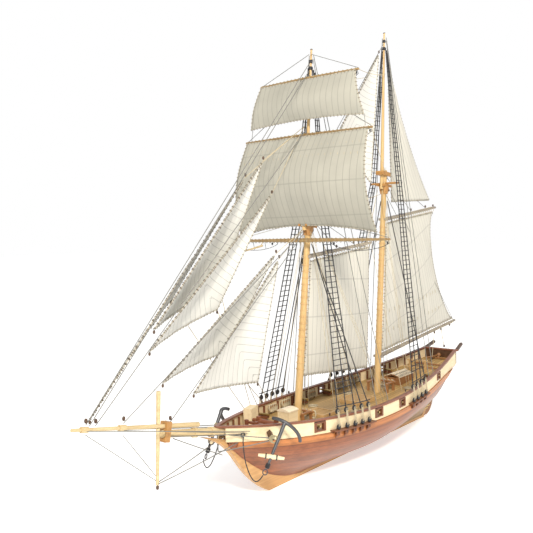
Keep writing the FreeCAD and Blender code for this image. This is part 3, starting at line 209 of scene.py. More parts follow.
def wood(name, dark, light, grain="x", rough=0.5, planks=None, seam=0.45, bump=0.12, deadwood=None):
    """Wood with grain along one axis.

    planks = (axis, pitch in metres, sheer) draws strakes and seams. deadwood = (start, slope, tone) paints
    what lies below a line that rises aft of x = start, and needs planks.
    """
    mat, tree, bsdf, out = shader(name)
    plain, along = stretched(tree, GRAIN[grain])
    fine = noise_node(tree, along, 1.0, 6.0, 0.65)
    broad = noise_node(tree, plain, 38.0, 2.0, 0.5)
    ramp = tree.nodes.new("ShaderNodeValToRGB")
    ramp.color_ramp.elements[0].position = 0.28
    ramp.color_ramp.elements[1].position = 0.72
    ramp.color_ramp.elements[0].color = (*dark, 1)
    ramp.color_ramp.elements[1].color = (*light, 1)
    fine_share = math_node(tree, "MULTIPLY", fine, 0.75)
    broad_share = math_node(tree, "MULTIPLY", broad, 0.25)
    tree.links.new(math_node(tree, "ADD", fine_share, broad_share), ramp.inputs[0])
    colour = ramp.outputs[0]
    height = fine
    if planks:
        axis, pitch, sheer = planks
        split = tree.nodes.new("ShaderNodeSeparateXYZ")
        tree.links.new(plain, split.inputs[0])
        value = split.outputs["XYZ".index(axis.upper())]
        if sheer:
            square = math_node(tree, "MULTIPLY", split.outputs[0], split.outputs[0])
            bend = math_node(tree, "MULTIPLY", square, sheer)
            value = math_node(tree, "SUBTRACT", value, bend)
        steps = math_node(tree, "DIVIDE", value, pitch)
        index = math_node(tree, "FLOOR", steps)
        part = math_node(tree, "FRACT", steps)
        random = tree.nodes.new("ShaderNodeTexWhiteNoise")
        random.noise_dimensions = "1D"
        tree.links.new(index, random.inputs["W"])
        tone = math_node(tree, "ADD", math_node(tree, "MULTIPLY", random.outputs[0], 0.34), 0.80)
        colour = mix_color(tree, 1.0, colour, tone, "MULTIPLY")
        line = math_node(tree, "LESS_THAN", part, 0.10)
        colour = mix_color(tree, math_node(tree, "MULTIPLY", line, seam), colour, (0.02, 0.01, 0.006))
        height = math_node(tree, "SUBTRACT", fine, math_node(tree, "MULTIPLY", line, 1.2))
    if deadwood:
        start, slope, tone = deadwood
        line = math_node(tree, "MULTIPLY", math_node(tree, "SUBTRACT", start, split.outputs[0]), slope)
        below = math_node(tree, "LESS_THAN", split.outputs[2], line)
        colour = mix_color(tree, math_node(tree, "MULTIPLY", below, 0.85), colour,
                           mix_color(tree, fine, tuple(c * 0.55 for c in tone), tone))
    tree.links.new(colour, bsdf.inputs["Base Color"])
    bsdf.inputs["Roughness"].default_value = rough
    add_bump(tree, bsdf, height, bump, 0.0004)
    return mat


def cloth(name, light, seam_tone=0.55, clear=0.25, blotch_and_shade=0.84):
    """Sailcloth: seams at whole numbers of the first UV value, reef bands at the second."""
    mat, tree, bsdf, out = shader(name)
    uv = tree.nodes.new("ShaderNodeUVMap")
    split = tree.nodes.new("ShaderNodeSeparateXYZ")
    tree.links.new(uv.outputs[0], split.inputs[0])
    coords = tree.nodes.new("ShaderNodeTexCoord")
    mottle = noise_node(tree, coords.outputs["Object"], 22.0, 4.0, 0.6)
    weave = noise_node(tree, coords.outputs["Object"], 2600.0, 2.0, 0.5)
    # Soft darker patches whose depth the blotch argument sets: random tone in the cloth, and painted shade
    # where the value is low.
    base = mix_color(tree, mottle, tuple(c * blotch_and_shade for c in light), light)
    part = math_node(tree, "FRACT", split.outputs[0])
    seam = math_node(tree, "LESS_THAN", part, 0.09)
    base = mix_color(tree, math_node(tree, "MULTIPLY", seam, 0.75), base, tuple(c * seam_tone for c in light))
    band = math_node(tree, "LESS_THAN", math_node(tree, "FRACT", split.outputs[1]), 0.035)
    base = mix_color(tree, math_node(tree, "MULTIPLY", band, 0.45), base, tuple(c * seam_tone for c in light))
    tree.links.new(base, bsdf.inputs["Base Color"])
    bsdf.inputs["Roughness"].default_value = 0.86
    bsdf.inputs["Specular IOR Level"].default_value = 0.15
    weave_height = math_node(tree, "MULTIPLY", weave, 0.5)
    seam_height = math_node(tree, "MULTIPLY", seam, 0.8)
    add_bump(tree, bsdf, math_node(tree, "ADD", weave_height, seam_height), 0.25)
    through = tree.nodes.new("ShaderNodeBsdfTranslucent")
    tree.links.new(base, through.inputs[0])
    blend = tree.nodes.new("ShaderNodeMixShader")
    blend.inputs[0].default_value = clear
    tree.links.new(bsdf.outputs[0], blend.inputs[1])
    tree.links.new(through.outputs[0], blend.inputs[2])
    tree.links.new(blend.outputs[0], out.inputs["Surface"])
    return mat


def rope(name, light, rough=0.85):
    """Speckled cord."""
    mat, tree, bsdf, out = shader(name)
    plain, _ = stretched(tree, (1, 1, 1))
    speck = noise_node(tree, plain, 1800.0, 3.0, 0.6)
    tree.links.new(mix_color(tree, speck, tuple(c * 0.55 for c in light), light), bsdf.inputs["Base Color"])
    bsdf.inputs["Roughness"].default_value = rough
    add_bump(tree, bsdf, speck, 0.4)
    return mat


def metal(name, light, rough=0.4, metallic=1.0):
    """Worn metal, or paint when metallic is 0."""
    mat, tree, bsdf, out = shader(name)
    plain, _ = stretched(tree, (1, 1, 1))
    wear = noise_node(tree, plain, 260.0, 5.0, 0.6)
    tree.links.new(mix_color(tree, wear, tuple(c * 0.6 for c in light), light), bsdf.inputs["Base Color"])
    worn = math_node(tree, "MULTIPLY", wear, 0.25)
    tree.links.new(math_node(tree, "ADD", worn, rough - 0.12), bsdf.inputs["Roughness"])
    bsdf.inputs["Metallic"].default_value = metallic
    return mat


# How fast the strakes rise towards the ends: metres of height per square metre of length.
SHEER = 0.39
KEEL_WOOD = wood("keel_wood", (0.42, 0.21, 0.07), (0.70, 0.42, 0.17), rough=0.42)
HULL_WOOD = wood("hull_wood", (0.15, 0.040, 0.012), (0.34, 0.105, 0.032), rough=0.34,
                 planks=("z", 0.0042, SHEER), seam=0.4, deadwood=(-0.066, 0.44, (0.36, 0.23, 0.085)))
WALE_WOOD = wood("wale_wood", (0.34, 0.11, 0.028), (0.56, 0.215, 0.062), rough=0.4,
                 planks=("z", 0.0028, SHEER), seam=0.35)
CREAM = wood("cream_wood", (0.44, 0.32, 0.16), (0.72, 0.57, 0.33), rough=0.6)
CREAM_PANEL = wood("cream_panel", (0.68, 0.53, 0.32), (0.90, 0.76, 0.51), rough=0.55)
WALNUT = wood("walnut", (0.10, 0.032, 0.014), (0.24, 0.085, 0.035), grain="z", rough=0.45)
RAIL_WOOD = wood("rail_wood", (0.13, 0.038, 0.018), (0.29, 0.10, 0.046), rough=0.4)
# A darker copy of the rail wood for the catheads, davits and transom, standing for the shade they lie in:
# painted shade.
RAIL_WOOD_SHADED = wood("rail_wood_painted_shade", (0.045, 0.020, 0.010), (0.13, 0.062, 0.030), rough=0.45)
ROOF_WOOD = wood("roof_wood", (0.72, 0.58, 0.40), (0.90, 0.80, 0.62), rough=0.55)
BROWN = wood("brown_wood", (0.22, 0.09, 0.03), (0.42, 0.20, 0.075), grain="z", rough=0.5)
DECK_WOOD = wood("deck_wood", (0.36, 0.21, 0.070), (0.60, 0.40, 0.155), rough=0.55,
                 planks=("y", 0.0034, 0.0), seam=0.6)
TAN = wood("tan_wood", (0.42, 0.25, 0.10), (0.66, 0.44, 0.20), rough=0.5)
MAST_WOOD = wood("mast_wood", (0.44, 0.27, 0.10), (0.72, 0.50, 0.23), grain="z", rough=0.42)
TREE_WOOD = wood("crosstree_wood", (0.30, 0.13, 0.035), (0.52, 0.28, 0.085), grain="y", rough=0.45)
YARD_WOOD = wood("yard_wood", (0.20, 0.12, 0.05), (0.40, 0.26, 0.11), grain="y", rough=0.5)
GREY_SPAR = wood("grey_spar", (0.20, 0.17, 0.14), (0.42, 0.37, 0.31), rough=0.6)
FRAME_WOOD = wood("frame_wood", (0.40, 0.28, 0.14), (0.62, 0.46, 0.26), rough=0.7)
BOX_WOOD = wood("pin_wood", (0.50, 0.30, 0.12), (0.74, 0.50, 0.24), grain="z", rough=0.45)
BLOCK_WOOD = wood("block_wood", (0.035, 0.018, 0.011), (0.12, 0.06, 0.03), grain="z", rough=0.45)
SAIL = cloth("sailcloth", (0.80, 0.775, 0.70))
# A lighter copy of the sailcloth for the jibs and staysails: painted light.
SAIL_JIBS_LIT = cloth("sailcloth_jibs_painted_light", (0.88, 0.87, 0.83), clear=0.30)
# A darker copy of the sailcloth with deeper dark blotches for the topsail and topgallant: painted shade.
SAIL_SQUARE_SHADED = cloth("sailcloth_square_painted_shade", (0.62, 0.60, 0.52), blotch_and_shade=0.62)
ROPE_BLACK = rope("rope_black", (0.045, 0.045, 0.05))
ROPE_GREY = rope("rope_grey", (0.24, 0.235, 0.22))
ROPE_CREAM = rope("rope_cream", (0.66, 0.56, 0.38))
ROPE_OLIVE = rope("rope_olive", (0.42, 0.36, 0.22))
LACE = rope("edge_lace", (0.20, 0.17, 0.11))
BOLT_ROPE = rope("bolt_rope", (0.60, 0.55, 0.45))
IRON = metal("iron", (0.12, 0.12, 0.13), 0.45, 0.7)
BLACK_WOOD = metal("black_paint", (0.03, 0.03, 0.035), 0.5, 0.0)
BRASS = metal("brass", (0.72, 0.52, 0.22), 0.32)

FINISH = [
    (KEEL_WOOD, "keel stem_and_sternpost"),
    (HULL_WOOD, "planking_port planking_starboard"),
    (WALE_WOOD, "wales"),
    (FRAME_WOOD, "frames"),
    (CREAM_PANEL, "bulwarks booby_hatch anchor_stocks bow_locker"),
    (CREAM, "bowsprit jibboom bowsprit_bands dolphin_striker"),
    (ROOF_WOOD, "booby_hatch_roof"),
    (WALNUT, "bulwark_frames channels gun_carriages"),
    (BROWN, "skylight rudder pin_rails"),
    (RAIL_WOOD, "cap_rails windlass_bitts windlass_barrel"),
    (RAIL_WOOD_SHADED, "catheads_and_davits transom"),
    (DECK_WOOD, "deck"),
    (TAN, "hatch_gratings stern_gallows"),
    (MAST_WOOD, "fore_lower_mast main_lower_mast fore_topmast main_topmast"),
    (TREE_WOOD, "mast_caps"),
    (YARD_WOOD, "fore_yard topsail_yard topgallant_yard"),
    (GREY_SPAR, "fore_gaff main_gaff main_boom"),
    (BLACK_WOOD, "deadeyes"),
    (IRON, "anchors"),
    (ROPE_BLACK, "shrouds anchor_cable_port anchor_cable_starboard"),
    (ROPE_GREY, "stays"),
    (BOX_WOOD, "belaying_pins mast_hoops"),
    (BRASS, "gun_barrels"),
]
for material, names in FINISH:
    for node in names.split():
        NODES[node].data.materials.clear()
        NODES[node].data.materials.append(material)


# ---------- making pieces ----------

def piece(name, verts, faces, material, body, smooth=True):
    """A mesh from points in millimetres, riding on a body (None leaves it unattached)."""
    mesh = bpy.data.meshes.new(name)
    mesh.from_pydata([Vector(v) * MM for v in verts], [], faces)
    mesh.validate()
    mesh.materials.append(material)
    if smooth:
        mesh.shade_smooth()
    obj = bpy.data.objects.new(name, mesh)
    bpy.context.scene.collection.objects.link(obj)
    if body:
        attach(obj, body)
    return obj


BOX_FACES = ((0, 1, 3, 2), (4, 6, 7, 5), (0, 4, 5, 1), (2, 3, 7, 6), (0, 2, 6, 4), (1, 5, 7, 3))


class Build:
    """Collects many small shapes into one mesh."""

    def __init__(self):
        self.verts, self.faces = [], []

    def add(self, verts, faces):
        base = len(self.verts)
        self.verts.extend(verts)
        self.faces.extend([tuple(base + k for k in face) for face in faces])

    def tube(self, path, radius, sides=6, end_radius=None, closed=False):
        """A round tube along a list of points, with closed ends."""
        path = [Vector(p) for p in path]
        count = len(path)
        rings = []
        side = None
        for k, point in enumerate(path):
            before = path[k - 1] if (k or closed) else point
            after = path[(k + 1) % count] if (k < count - 1 or closed) else point
            way = (after - before).normalized()
            if side is None:
                guess = Vector((0, 0, 1)) if abs(way.z) < 0.8 else Vector((1, 0, 0))
                side = way.cross(guess).normalized()
            side = (side - way * side.dot(way)).normalized()
            up = way.cross(side)
            share = k / max(1, count - 1)
            thick = radius if end_radius is None else radius + (end_radius - radius) * share
            rings.append([point + (side * math.cos(t) + up * math.sin(t)) * thick
                          for t in [2 * math.pi * j / sides for j in range(sides)]])
        verts = [v for loop in rings for v in loop]
        faces = []
        for k in range(count if closed else count - 1):
            a, b = k * sides, ((k + 1) % count) * sides
            for j in range(sides):
                n = (j + 1) % sides
                faces.append((a + j, a + n, b + n, b + j))
        if not closed:
            faces.append(tuple(reversed(range(sides))))
            faces.append(tuple((count - 1) * sides + j for j in range(sides)))
        self.add(verts, faces)

    def line(self, a, b, radius, sag=0.0, sides=6, steps=None):
        """A cord from a to b that hangs sag below the straight line at its middle."""
        a, b = Vector(a), Vector(b)
        steps = steps or (1 if not sag else 8)
        path = []
        for k in range(steps + 1):
            u = k / steps
            path.append(a.lerp(b, u) - Vector((0, 0, sag * 4 * u * (1 - u))))
        self.tube(path, radius, sides)

    def block(self, centre, long=2.2, wide=1.5, thick=1.2, axis=(0, 0, 1)):
        """A rigging block: a flattened egg with its long way along axis."""
        centre, way = Vector(centre), Vector(axis).normalized()
        side = way.cross(Vector((0.3, 1, 0.1))).normalized()
        up = way.cross(side)
        rows, around = 5, 8
        verts = [centre + way * long * 0.5]
        for i in range(1, rows):
            t = math.pi * i / rows
            for j in range(around):
                s = 2 * math.pi * j / around
                verts.append(centre + way * (long * 0.5 * math.cos(t))
                             + side * (wide * 0.5 * math.sin(t) ** 0.8 * math.cos(s))
                             + up * (thick * 0.5 * math.sin(t) ** 0.8 * math.sin(s)))
        verts.append(centre - way * long * 0.5)
        faces = [(0, 1 + (j + 1) % around, 1 + j) for j in range(around)]
        for i in range(rows - 2):
            a, b = 1 + i * around, 1 + (i + 1) * around
            for j in range(around):
                n = (j + 1) % around
                faces.append((a + j, a + n, b + n, b + j))
        a, last = 1 + (rows - 2) * around, len(verts) - 1
        faces.extend([(a + j, a + (j + 1) % around, last) for j in range(around)])
        self.add(verts, faces)

    def loop(self, centre, axis, radius, thick, sides=5, count=12, squeeze=1.0, up=None):
        """A closed ring of cord."""
        centre, way = Vector(centre), Vector(axis).normalized()
        guess = Vector(up) if up else (Vector((0, 0, 1)) if abs(way.z) < 0.8 else Vector((1, 0, 0)))
        side = way.cross(guess).normalized()
        high = way.cross(side)
        path = [centre + side * math.cos(t) * radius * squeeze + high * math.sin(t) * radius
                for t in [2 * math.pi * k / count for k in range(count)]]
        self.tube(path, thick, sides, closed=True)

    def bar(self, centre, sx, sy, sz, turn=0.0, tilt=0.0):
        """A box of three sizes, tilted about X and then turned about Z."""
        spin = Matrix.Rotation(turn, 3, "Z") @ Matrix.Rotation(tilt, 3, "X")
        corners = [Vector(centre) + spin @ Vector((x * sx / 2, y * sy / 2, z * sz / 2))
                   for x in (-1, 1) for y in (-1, 1) for z in (-1, 1)]
        self.add(corners, BOX_FACES)

    def done(self, name, material, body, smooth=True):
        return piece(name, self.verts, self.faces, material, body, smooth)


# ---------- sails ----------

def four_corner(foot_a, foot_b, head_a, head_b, belly, way, edge, hollow=0.0, leech=0.0):
    """A point of a four-cornered sail: u across from a to b, v from foot to head."""
    way = Vector(way).normalized()

    def point(u, v):
        low = Vector(foot_a).lerp(Vector(foot_b), u)
        high = Vector(head_a).lerp(Vector(head_b), u)
        depth = math.sin(math.pi * v) * (edge + (1 - edge) * math.sin(math.pi * u))
        raise_foot = Vector((0, 0, hollow * (1 - (2 * u - 1) ** 2) * (1 - v)))
        pull = Vector((leech * u * max(0.0, math.sin(math.pi * v)) ** 0.6, 0, 0))
        return low.lerp(high, v) + way * belly * depth + raise_foot + pull
    return point


def three_corner(tack, head, clew, belly, swing, leech_in=0.0):
    """A point of a triangular sail: u from luff to leech, v from foot to head."""
    tack, head, clew = Vector(tack), Vector(head), Vector(clew)

    def point(u, v):
        luff = tack.lerp(head, 0.985 * v)
        leech = clew.lerp(head, 0.97 * v) + Vector((leech_in * max(0.0, math.sin(math.pi * v)) ** 0.8, 0, 0))
        depth = math.sin(math.pi * u) ** 0.9 * (1 - v) ** 0.7 * math.sin(math.pi * (0.22 + 0.6 * v))
        return luff.lerp(leech, u) + Vector((0, swing * belly * depth, 0))
    return point


PANEL = 5.6             # width of one panel of sailcloth
CLOTH_HALF = 0.2        # half the cloth's thickness
BOLT_RADIUS = 0.42
LACE_PITCH = 3.4
FLAT_FILL = 0.72        # share of its flat box that a sail is taken to fill


def sail(name, node, body, point, material, wrinkle=0.5, across=44, up=44,
         seam_along=None, bands=0.0, mitre=False):
    """A sewn sail that stands for a CAD sail: thin cloth, seams in its UVs and a bolt rope."""
    corner = {"a": point(0, 0), "b": point(1, 0), "c": point(0, 1), "d": point(1, 1)}
    if seam_along is None:
        leech = (corner["d"] - corner["b"]).normalized()
    else:
        leech = Vector(seam_along).normalized()
    across_way = corner["b"] - corner["a"]
    across_way = (across_way - leech * across_way.dot(leech)).normalized()
    tall = (corner["c"] - corner["a"]).length
    foot_way = (corner["a"] - corner["b"]).normalized()
    grid = []
    for i in range(up + 1):
        v = i / up
        grid.append([point(j / across, v) for j in range(across + 1)])
    normals = []
    for i in range(up + 1):
        row = []
        for j in range(across + 1):
            du = grid[i][min(across, j + 1)] - grid[i][max(0, j - 1)]
            dv = grid[min(up, i + 1)][j] - grid[max(0, i - 1)][j]
            row.append(du.cross(dv).normalized())
        normals.append(row)
    for i in range(up + 1):
        for j in range(across + 1):
            u, v = j / across, i / up
            p = grid[i][j]
            free = min(1.0, 6 * u, 6 * (1 - u)) * min(1.0, 5 * v, 5 * (1 - v))
            coarse = noise.noise(p * 0.028 + Vector((3.1, 7.7, 1.3)))
            fine = noise.noise(Vector((p.dot(across_way) * 0.11, p.dot(leech) * 0.03, 5.5)))
            ripple = math.sin(p.dot(across_way) * 2 * math.pi / PANEL) * 0.05
            foot_scallop = 0.35 * math.sin(u * 26) * math.exp(-9 * v)
            head_scallop = 0.25 * math.sin(u * 40) * math.exp(-14 * (1 - v))
            scallop = foot_scallop + head_scallop
            push = wrinkle * (2.0 * coarse + 0.9 * fine) * free + ripple + scallop * wrinkle
            grid[i][j] = p + normals[i][j] * push
    verts, uvs = [], []
    for way in (1, -1):
        for i in range(up + 1):
            for j in range(across + 1):
                p = grid[i][j]
                verts.append(p + normals[i][j] * CLOTH_HALF * way)
                run = (p - corner["b"]).dot(across_way)
                if mitre:
                    run = max((p - corner["b"]).dot(leech), (p - corner["b"]).dot(foot_way))
                uvs.append((run / PANEL, (p - corner["a"]).dot(leech) / tall * bands + 0.5))
    wide = across + 1
    layer = wide * (up + 1)
    faces = []
    for i in range(up):
        for j in range(across):
            a = i * wide + j
            faces.append((a, a + 1, a + wide + 1, a + wide))
            faces.append((layer + a, layer + a + wide, layer + a + wide + 1, layer + a + 1))
    rim = list(range(across)) + [across + i * wide for i in range(up)]
    rim += [up * wide + j for j in range(across, 0, -1)] + [i * wide for i in range(up, 0, -1)]
    for k, a in enumerate(rim):
        b = rim[(k + 1) % len(rim)]
        faces.append((b, a, layer + a, layer + b))
    cloth_obj = piece(name, verts, faces, material, None)
    layer_uv = cloth_obj.data.uv_layers.new(name="panels")
    for loop in cloth_obj.data.loops:
        layer_uv.data[loop.index].uv = uvs[loop.vertex_index]
    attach(cloth_obj, body)
    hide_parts(node)
    edge = Build()
    outline = [grid[r // wide][r % wide] for r in rim]
    edge.tube(outline, BOLT_RADIUS, 6, closed=True)
    trim = edge.done(name + "_bolt_rope", BOLT_ROPE, body)
    laces = Build()
    left = 0.0
    for a, b in zip(outline, outline[1:] + outline[:1]):
        span = (b - a).length
        while left < span and span > 0.05:
            laces.loop(a.lerp(b, left / span), b - a, 0.78, 0.2, 4, 7)
            left += LACE_PITCH
        left -= span
    stitches = laces.done(name + "_edge_lacing", LACE, body)
    area = sum(face.area for face in cloth_obj.data.polygons) / 2
    length = max((grid[0][0] - grid[up][0]).length, (grid[0][across] - grid[up][across]).length) * MM
    width = area / length / FLAT_FILL
    return cloth_obj, [trim, stitches], grid, width, length, area


BUILT = {}


def hoist(name, node, body, point, spar, material=SAIL, held="stretched", **options):
    obj, trim, grid, width, length, area = sail(name, node, body, point, material, **options)
    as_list(trim)
    BUILT[name] = grid


TOPSAIL = four_corner((68.2, -70, 200.5), (68.2, 70, 200.5), (65.6, -62, 280.6), (65.6, 62, 280.6),
                      17.0, (1, 0, 0), 0.62, 6.5)
TOPGALLANT = four_corner((64.2, -58, 292.5), (64.2, 58, 292.5), (60.6, -48.5, 328.0), (60.6, 48.5, 328.0),
                         6.0, (1, 0, 0), 0.5, 2.5)
FORESAIL = four_corner((73.0, 0.25, 82.0), (-26.0, 0.25, 72.0), (59.6, 0.25, 176.8), (-33.5, 0.25, 185.0),
                       5.0, (0, 1, 0), 0.1)
MAINSAIL = four_corner((-54.5, 0.25, 83.5), (-211.0, 0.25, 97.5), (-67.0, 0.25, 207.4), (-166.0, 0.25, 218.4),
                       7.0, (0, 1, 0), 0.1, 0.0, 22.0)
GAFF_TOPSAIL = three_corner((-78.0, 0.25, 229.0), (-74.8, 0.25, 368.0), (-158.0, 0.25, 232.0), 5.0, 1, 9.0)
hoist("topsail_cloth", "topsail", "topsail_yard", TOPSAIL, "topsail_yard", SAIL_SQUARE_SHADED, held="hung",
      seam_along=(0, 0, 1), wrinkle=0.7, bands=3.0)
hoist("topgallant_cloth", "topgallant_sail", "topgallant_yard", TOPGALLANT, "topgallant_yard", SAIL_SQUARE_SHADED,
      held="hung", seam_along=(0, 0, 1))
hoist("foresail_cloth", "foresail", "fore_gaff", FORESAIL, "fore_gaff", held="hung", wrinkle=0.8, bands=3.0)
hoist("mainsail_cloth", "mainsail", "main_boom", MAINSAIL, "main_boom", wrinkle=0.9, bands=4.0)
hoist("gaff_topsail_cloth", "gaff_topsail", "main_boom", GAFF_TOPSAIL, "main_gaff", wrinkle=0.6)
# Each sail on a stay: its name, tack, head, clew and belly.
JIBS = [
    ("flying_jib", (284.6, -1.15, 93.2), (139.0, -1.15, 243.6), (196.0, -24, 156), 3.0),
    ("outer_jib", (232.0, -1.15, 141.0), (117.5, -1.15, 257.5), (152.0, -18, 160), 8.0),
    ("inner_jib", (236.4, -1.15, 127.2), (108.0, -1.15, 231.5), (158.5, -15, 145.2), 8.0),
    ("fore_staysail", (226.0, -1.15, 104.2), (104.6, -1.15, 184.6), (152.5, -15, 111.6), 7.0),
    ("storm_jib", (198.0, -1.15, 91.6), (100.8, -1.15, 180.2), (121.0, -9, 84.0), 7.0),
    ("main_topmast_staysail", (10.0, -1.15, 291.0), (-59.5, -1.15, 370.0), (-44.0, -2.6, 246.5), 4.0),
]
for node, tack, head, clew, belly in JIBS:
    hoist(node + "_cloth", node, "hull", three_corner(tack, head, clew, belly, -1), "stays",
          material=SAIL_JIBS_LIT, wrinkle=0.5, mitre=True)


# ---------- standing rigging ----------

def ratlines(name, lines, low, high, step):
    """Ratlines tied across one set of shrouds."""
    build = Build()
    z = low
    while z < high:
        crossing = []
        for a, b in lines:
            if a.z < z < b.z:
                crossing.append(a.lerp(b, (z - a.z) / (b.z - a.z)))
        if len(crossing) > 1:
            build.tube(crossing, 0.34, 5)
            for point in crossing:
                build.block(point, 1.3, 1.2, 1.2)
        z += step
    build.done(name, ROPE_BLACK, "hull")


# Each mast's name and three heights: its lowest ratline, its crosstrees and the end of the topmast ratlines.
LADDERS = (("fore", 72.0, 206.0, 328.0), ("main", 71.0, 243.0, 368.0))
for side, word in ((1, "port"), (-1, "starboard")):
    for (mast, low, trees, high), rig in zip(LADDERS, long_shrouds(side)):
        ratlines("%s_ratlines_%s" % (mast, word), [(a, b) for a, b, c in rig], low, trees, 4.4)
        ratlines("%s_top_ratlines_%s" % (mast, word), [(b, c) for a, b, c in rig], trees + 5.5, high, 4.6)

lanyards, poles, straps = Build(), Build(), Build()
for side in (1, -1):
    for eyes in (FORE_EYES, MAIN_EYES):
        tops = []
        for x in eyes:
            low, high = eye_points(x, side)
            for shift in (-1.0, 0.0, 1.0):
                foot_at = low + Vector((shift, side * 0.9, 0.6))
                head_at = high + Vector((shift * 0.9, side * 0.9, -0.6))
                lanyards.line(foot_at, head_at, 0.26)
            lanyards.loop(high + Vector((0, side * 0.9, 0)), (0, 1, 0), 1.1, 0.2, 4, 8)
            straps.loop(high, (0, 1, 0), 2.15, 0.28, 5, 14)
            straps.loop(low, (0, 1, 0), 2.15, 0.28, 5, 14)
            straps.line(low + Vector((0, 0, -2.0)), low + Vector((0, -side * 0.4, -6.5)), 0.35)
            tops.append(high + Vector((0, side * 0.2, 3.6)))
        poles.tube([tops[0] + Vector((2.5, 0, 0))] + tops + [tops[-1] - Vector((2.5, 0, 0))], 0.4, 6)
lanyards.done("deadeye_lanyards", ROPE_CREAM, "hull")
poles.done("sheer_poles", ROPE_BLACK, "hull")
straps.done("deadeye_straps", BLACK_WOOD, "hull")

seizings = Build()
for side in (1, -1):
    for rig in long_shrouds(side):
        for low, knee, top in rig:
            seizings.block(knee, 2.0, 1.5, 1.4)
            seizings.block(low.lerp(knee, 0.03), 2.6, 1.3, 1.3)
            seizings.block(top, 2.4, 1.3, 1.3)
seizings.done("shroud_seizings", ROPE_BLACK, "hull")

hanks = Build()
for node, tack, head, clew, belly in JIBS:
    a, b = Vector(tack), Vector(head)
    count = int((b - a).length / 4.4)
    for k in range(1, count):
        point = a.lerp(b, 0.985 * k / count)
        hanks.loop(point + Vector((0, 0.3, 0.3)), b - a, 0.85, 0.18, 4, 8)
hanks.done("jib_hanks", BLOCK_WOOD, "hull")

bow_gear = Build()
for side in (1, -1):
    bow_gear.line((235.0, side * 0.9, 38.6), (165.5, side * 9.0, 50.0), 0.34, 0.6)
    bow_gear.line((262.0, side * 1.6, 81.0), (160.0, side * 13.5, 56.5), 0.3)
    bow_gear.line((289.6, side * 1.6, 87.2), (158.0, side * 14.5, 57.5), 0.3)
    bow_gear.line((224.0, side * 2.8, 68.0), (163.0, side * 9.4, 55.5), 0.34)
    bow_gear.line((149.6, side * 27.6, 52.8), (173.0, side * 3.0, 57.0), 0.4, 0.3)
    bow_gear.line((149.6, side * 27.6, 51.0), (176.5, side * 0.5, 44.6), 0.4, 0.4)
bow_gear.line((176.4, 0.6, 44.6), (176.4, -0.6, 44.6), 0.4)
bow_gear.line((220.0, 0, 65.2), (172.6, 0, 41.0), 0.36, 0.3)
bow_gear.done("bowsprit_guys", ROPE_GREY, "hull")


# ---------- running rigging ----------

def tied(name, a, b, radius=0.26, sag=0.0, material=ROPE_GREY):
    """A line between two bodies that turn on a mast."""
    build = Build()
    build.line(a, b, radius, sag, steps=14)
    obj = build.done(name, material, None)
    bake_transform(obj)
    return obj


def word_of(side):
    return "port" if side > 0 else "starboard"


# Name, body, the yard's middle, the reach to port and starboard, and where the line ends on the hull.
LIFTS = [
    ("fore", "fore_yard", FORE_YARD, 81.0, (62.5, 1.6, 214.0)),
    ("topsail", "topsail_yard", TOPSAIL_YARD, 63.0, (57.6, 1.2, 322.0)),
    ("topgallant", "topgallant_yard", TOPGALLANT_YARD, 49.0, (53.6, 0.9, 350.0)),
]
BRACES = [
    ("fore", "fore_yard", FORE_YARD, 81.5, (-62.0, 3.0, 236.0)),
    ("topsail", "topsail_yard", TOPSAIL_YARD, 63.5, (-62.6, 3.0, 257.0)),
    ("topgallant", "topgallant_yard", TOPGALLANT_YARD, 49.5, (-67.0, 1.6, 352.0)),
]
for side in (1, -1):
    for word, body, yard_at, reach, head in LIFTS:
        tied("%s_lift_%s" % (word, word_of(side)), yard_at + Vector((-1.6, side * reach, 1.4)),
             (head[0], head[1] * side, head[2]))
    for word, body, yard_at, reach, head in BRACES:
        tied("%s_brace_%s" % (word, word_of(side)), yard_at + Vector((-1.6, side * reach, 0)),
             (head[0], head[1] * side, head[2]), 0.22, 2.0, ROPE_CREAM)
    tied("topping_lift_" + word_of(side), (-212.0, side * 2.2, 94.6), (-66.0, side * 3.2, 243.0),
         0.24)
tied("main_sheet_fore", (-168.0, 0, 88.0), (-158.0, 1.5, 58.6), 0.3, material=ROPE_CREAM)
tied("main_sheet_aft", (-184.0, 0, 89.4), (-181.0, 5.0, 69.0), 0.3, material=ROPE_CREAM)
tied("main_peak_inner", (-118.0, 0, 219.6), (-69.0, 0, 253.0), 0.26)
tied("main_peak_outer", (-150.0, 0, 223.4), (-69.5, 0, 256.0), 0.26)
tied("fore_peak_inner", (20.0, 0, 187.0), (56.0, 0, 212.0), 0.26)
tied("fore_peak_outer", (-8.0, 0, 189.4), (55.6, 0, 216.0), 0.26)
for side in (1, -1):
    tied("fore_vang_" + word_of(side), (-37.0, side * 0.8, 188.0), (-20.0, side * 41.0, 55.0),
         0.2, 1.5, ROPE_CREAM)


def footrope_drop(u):
    """A footrope's height above its yard's axis, a negative number; u runs along one arm."""
    return -3.0 - 5.5 * math.sin(math.pi * u) ** 0.7


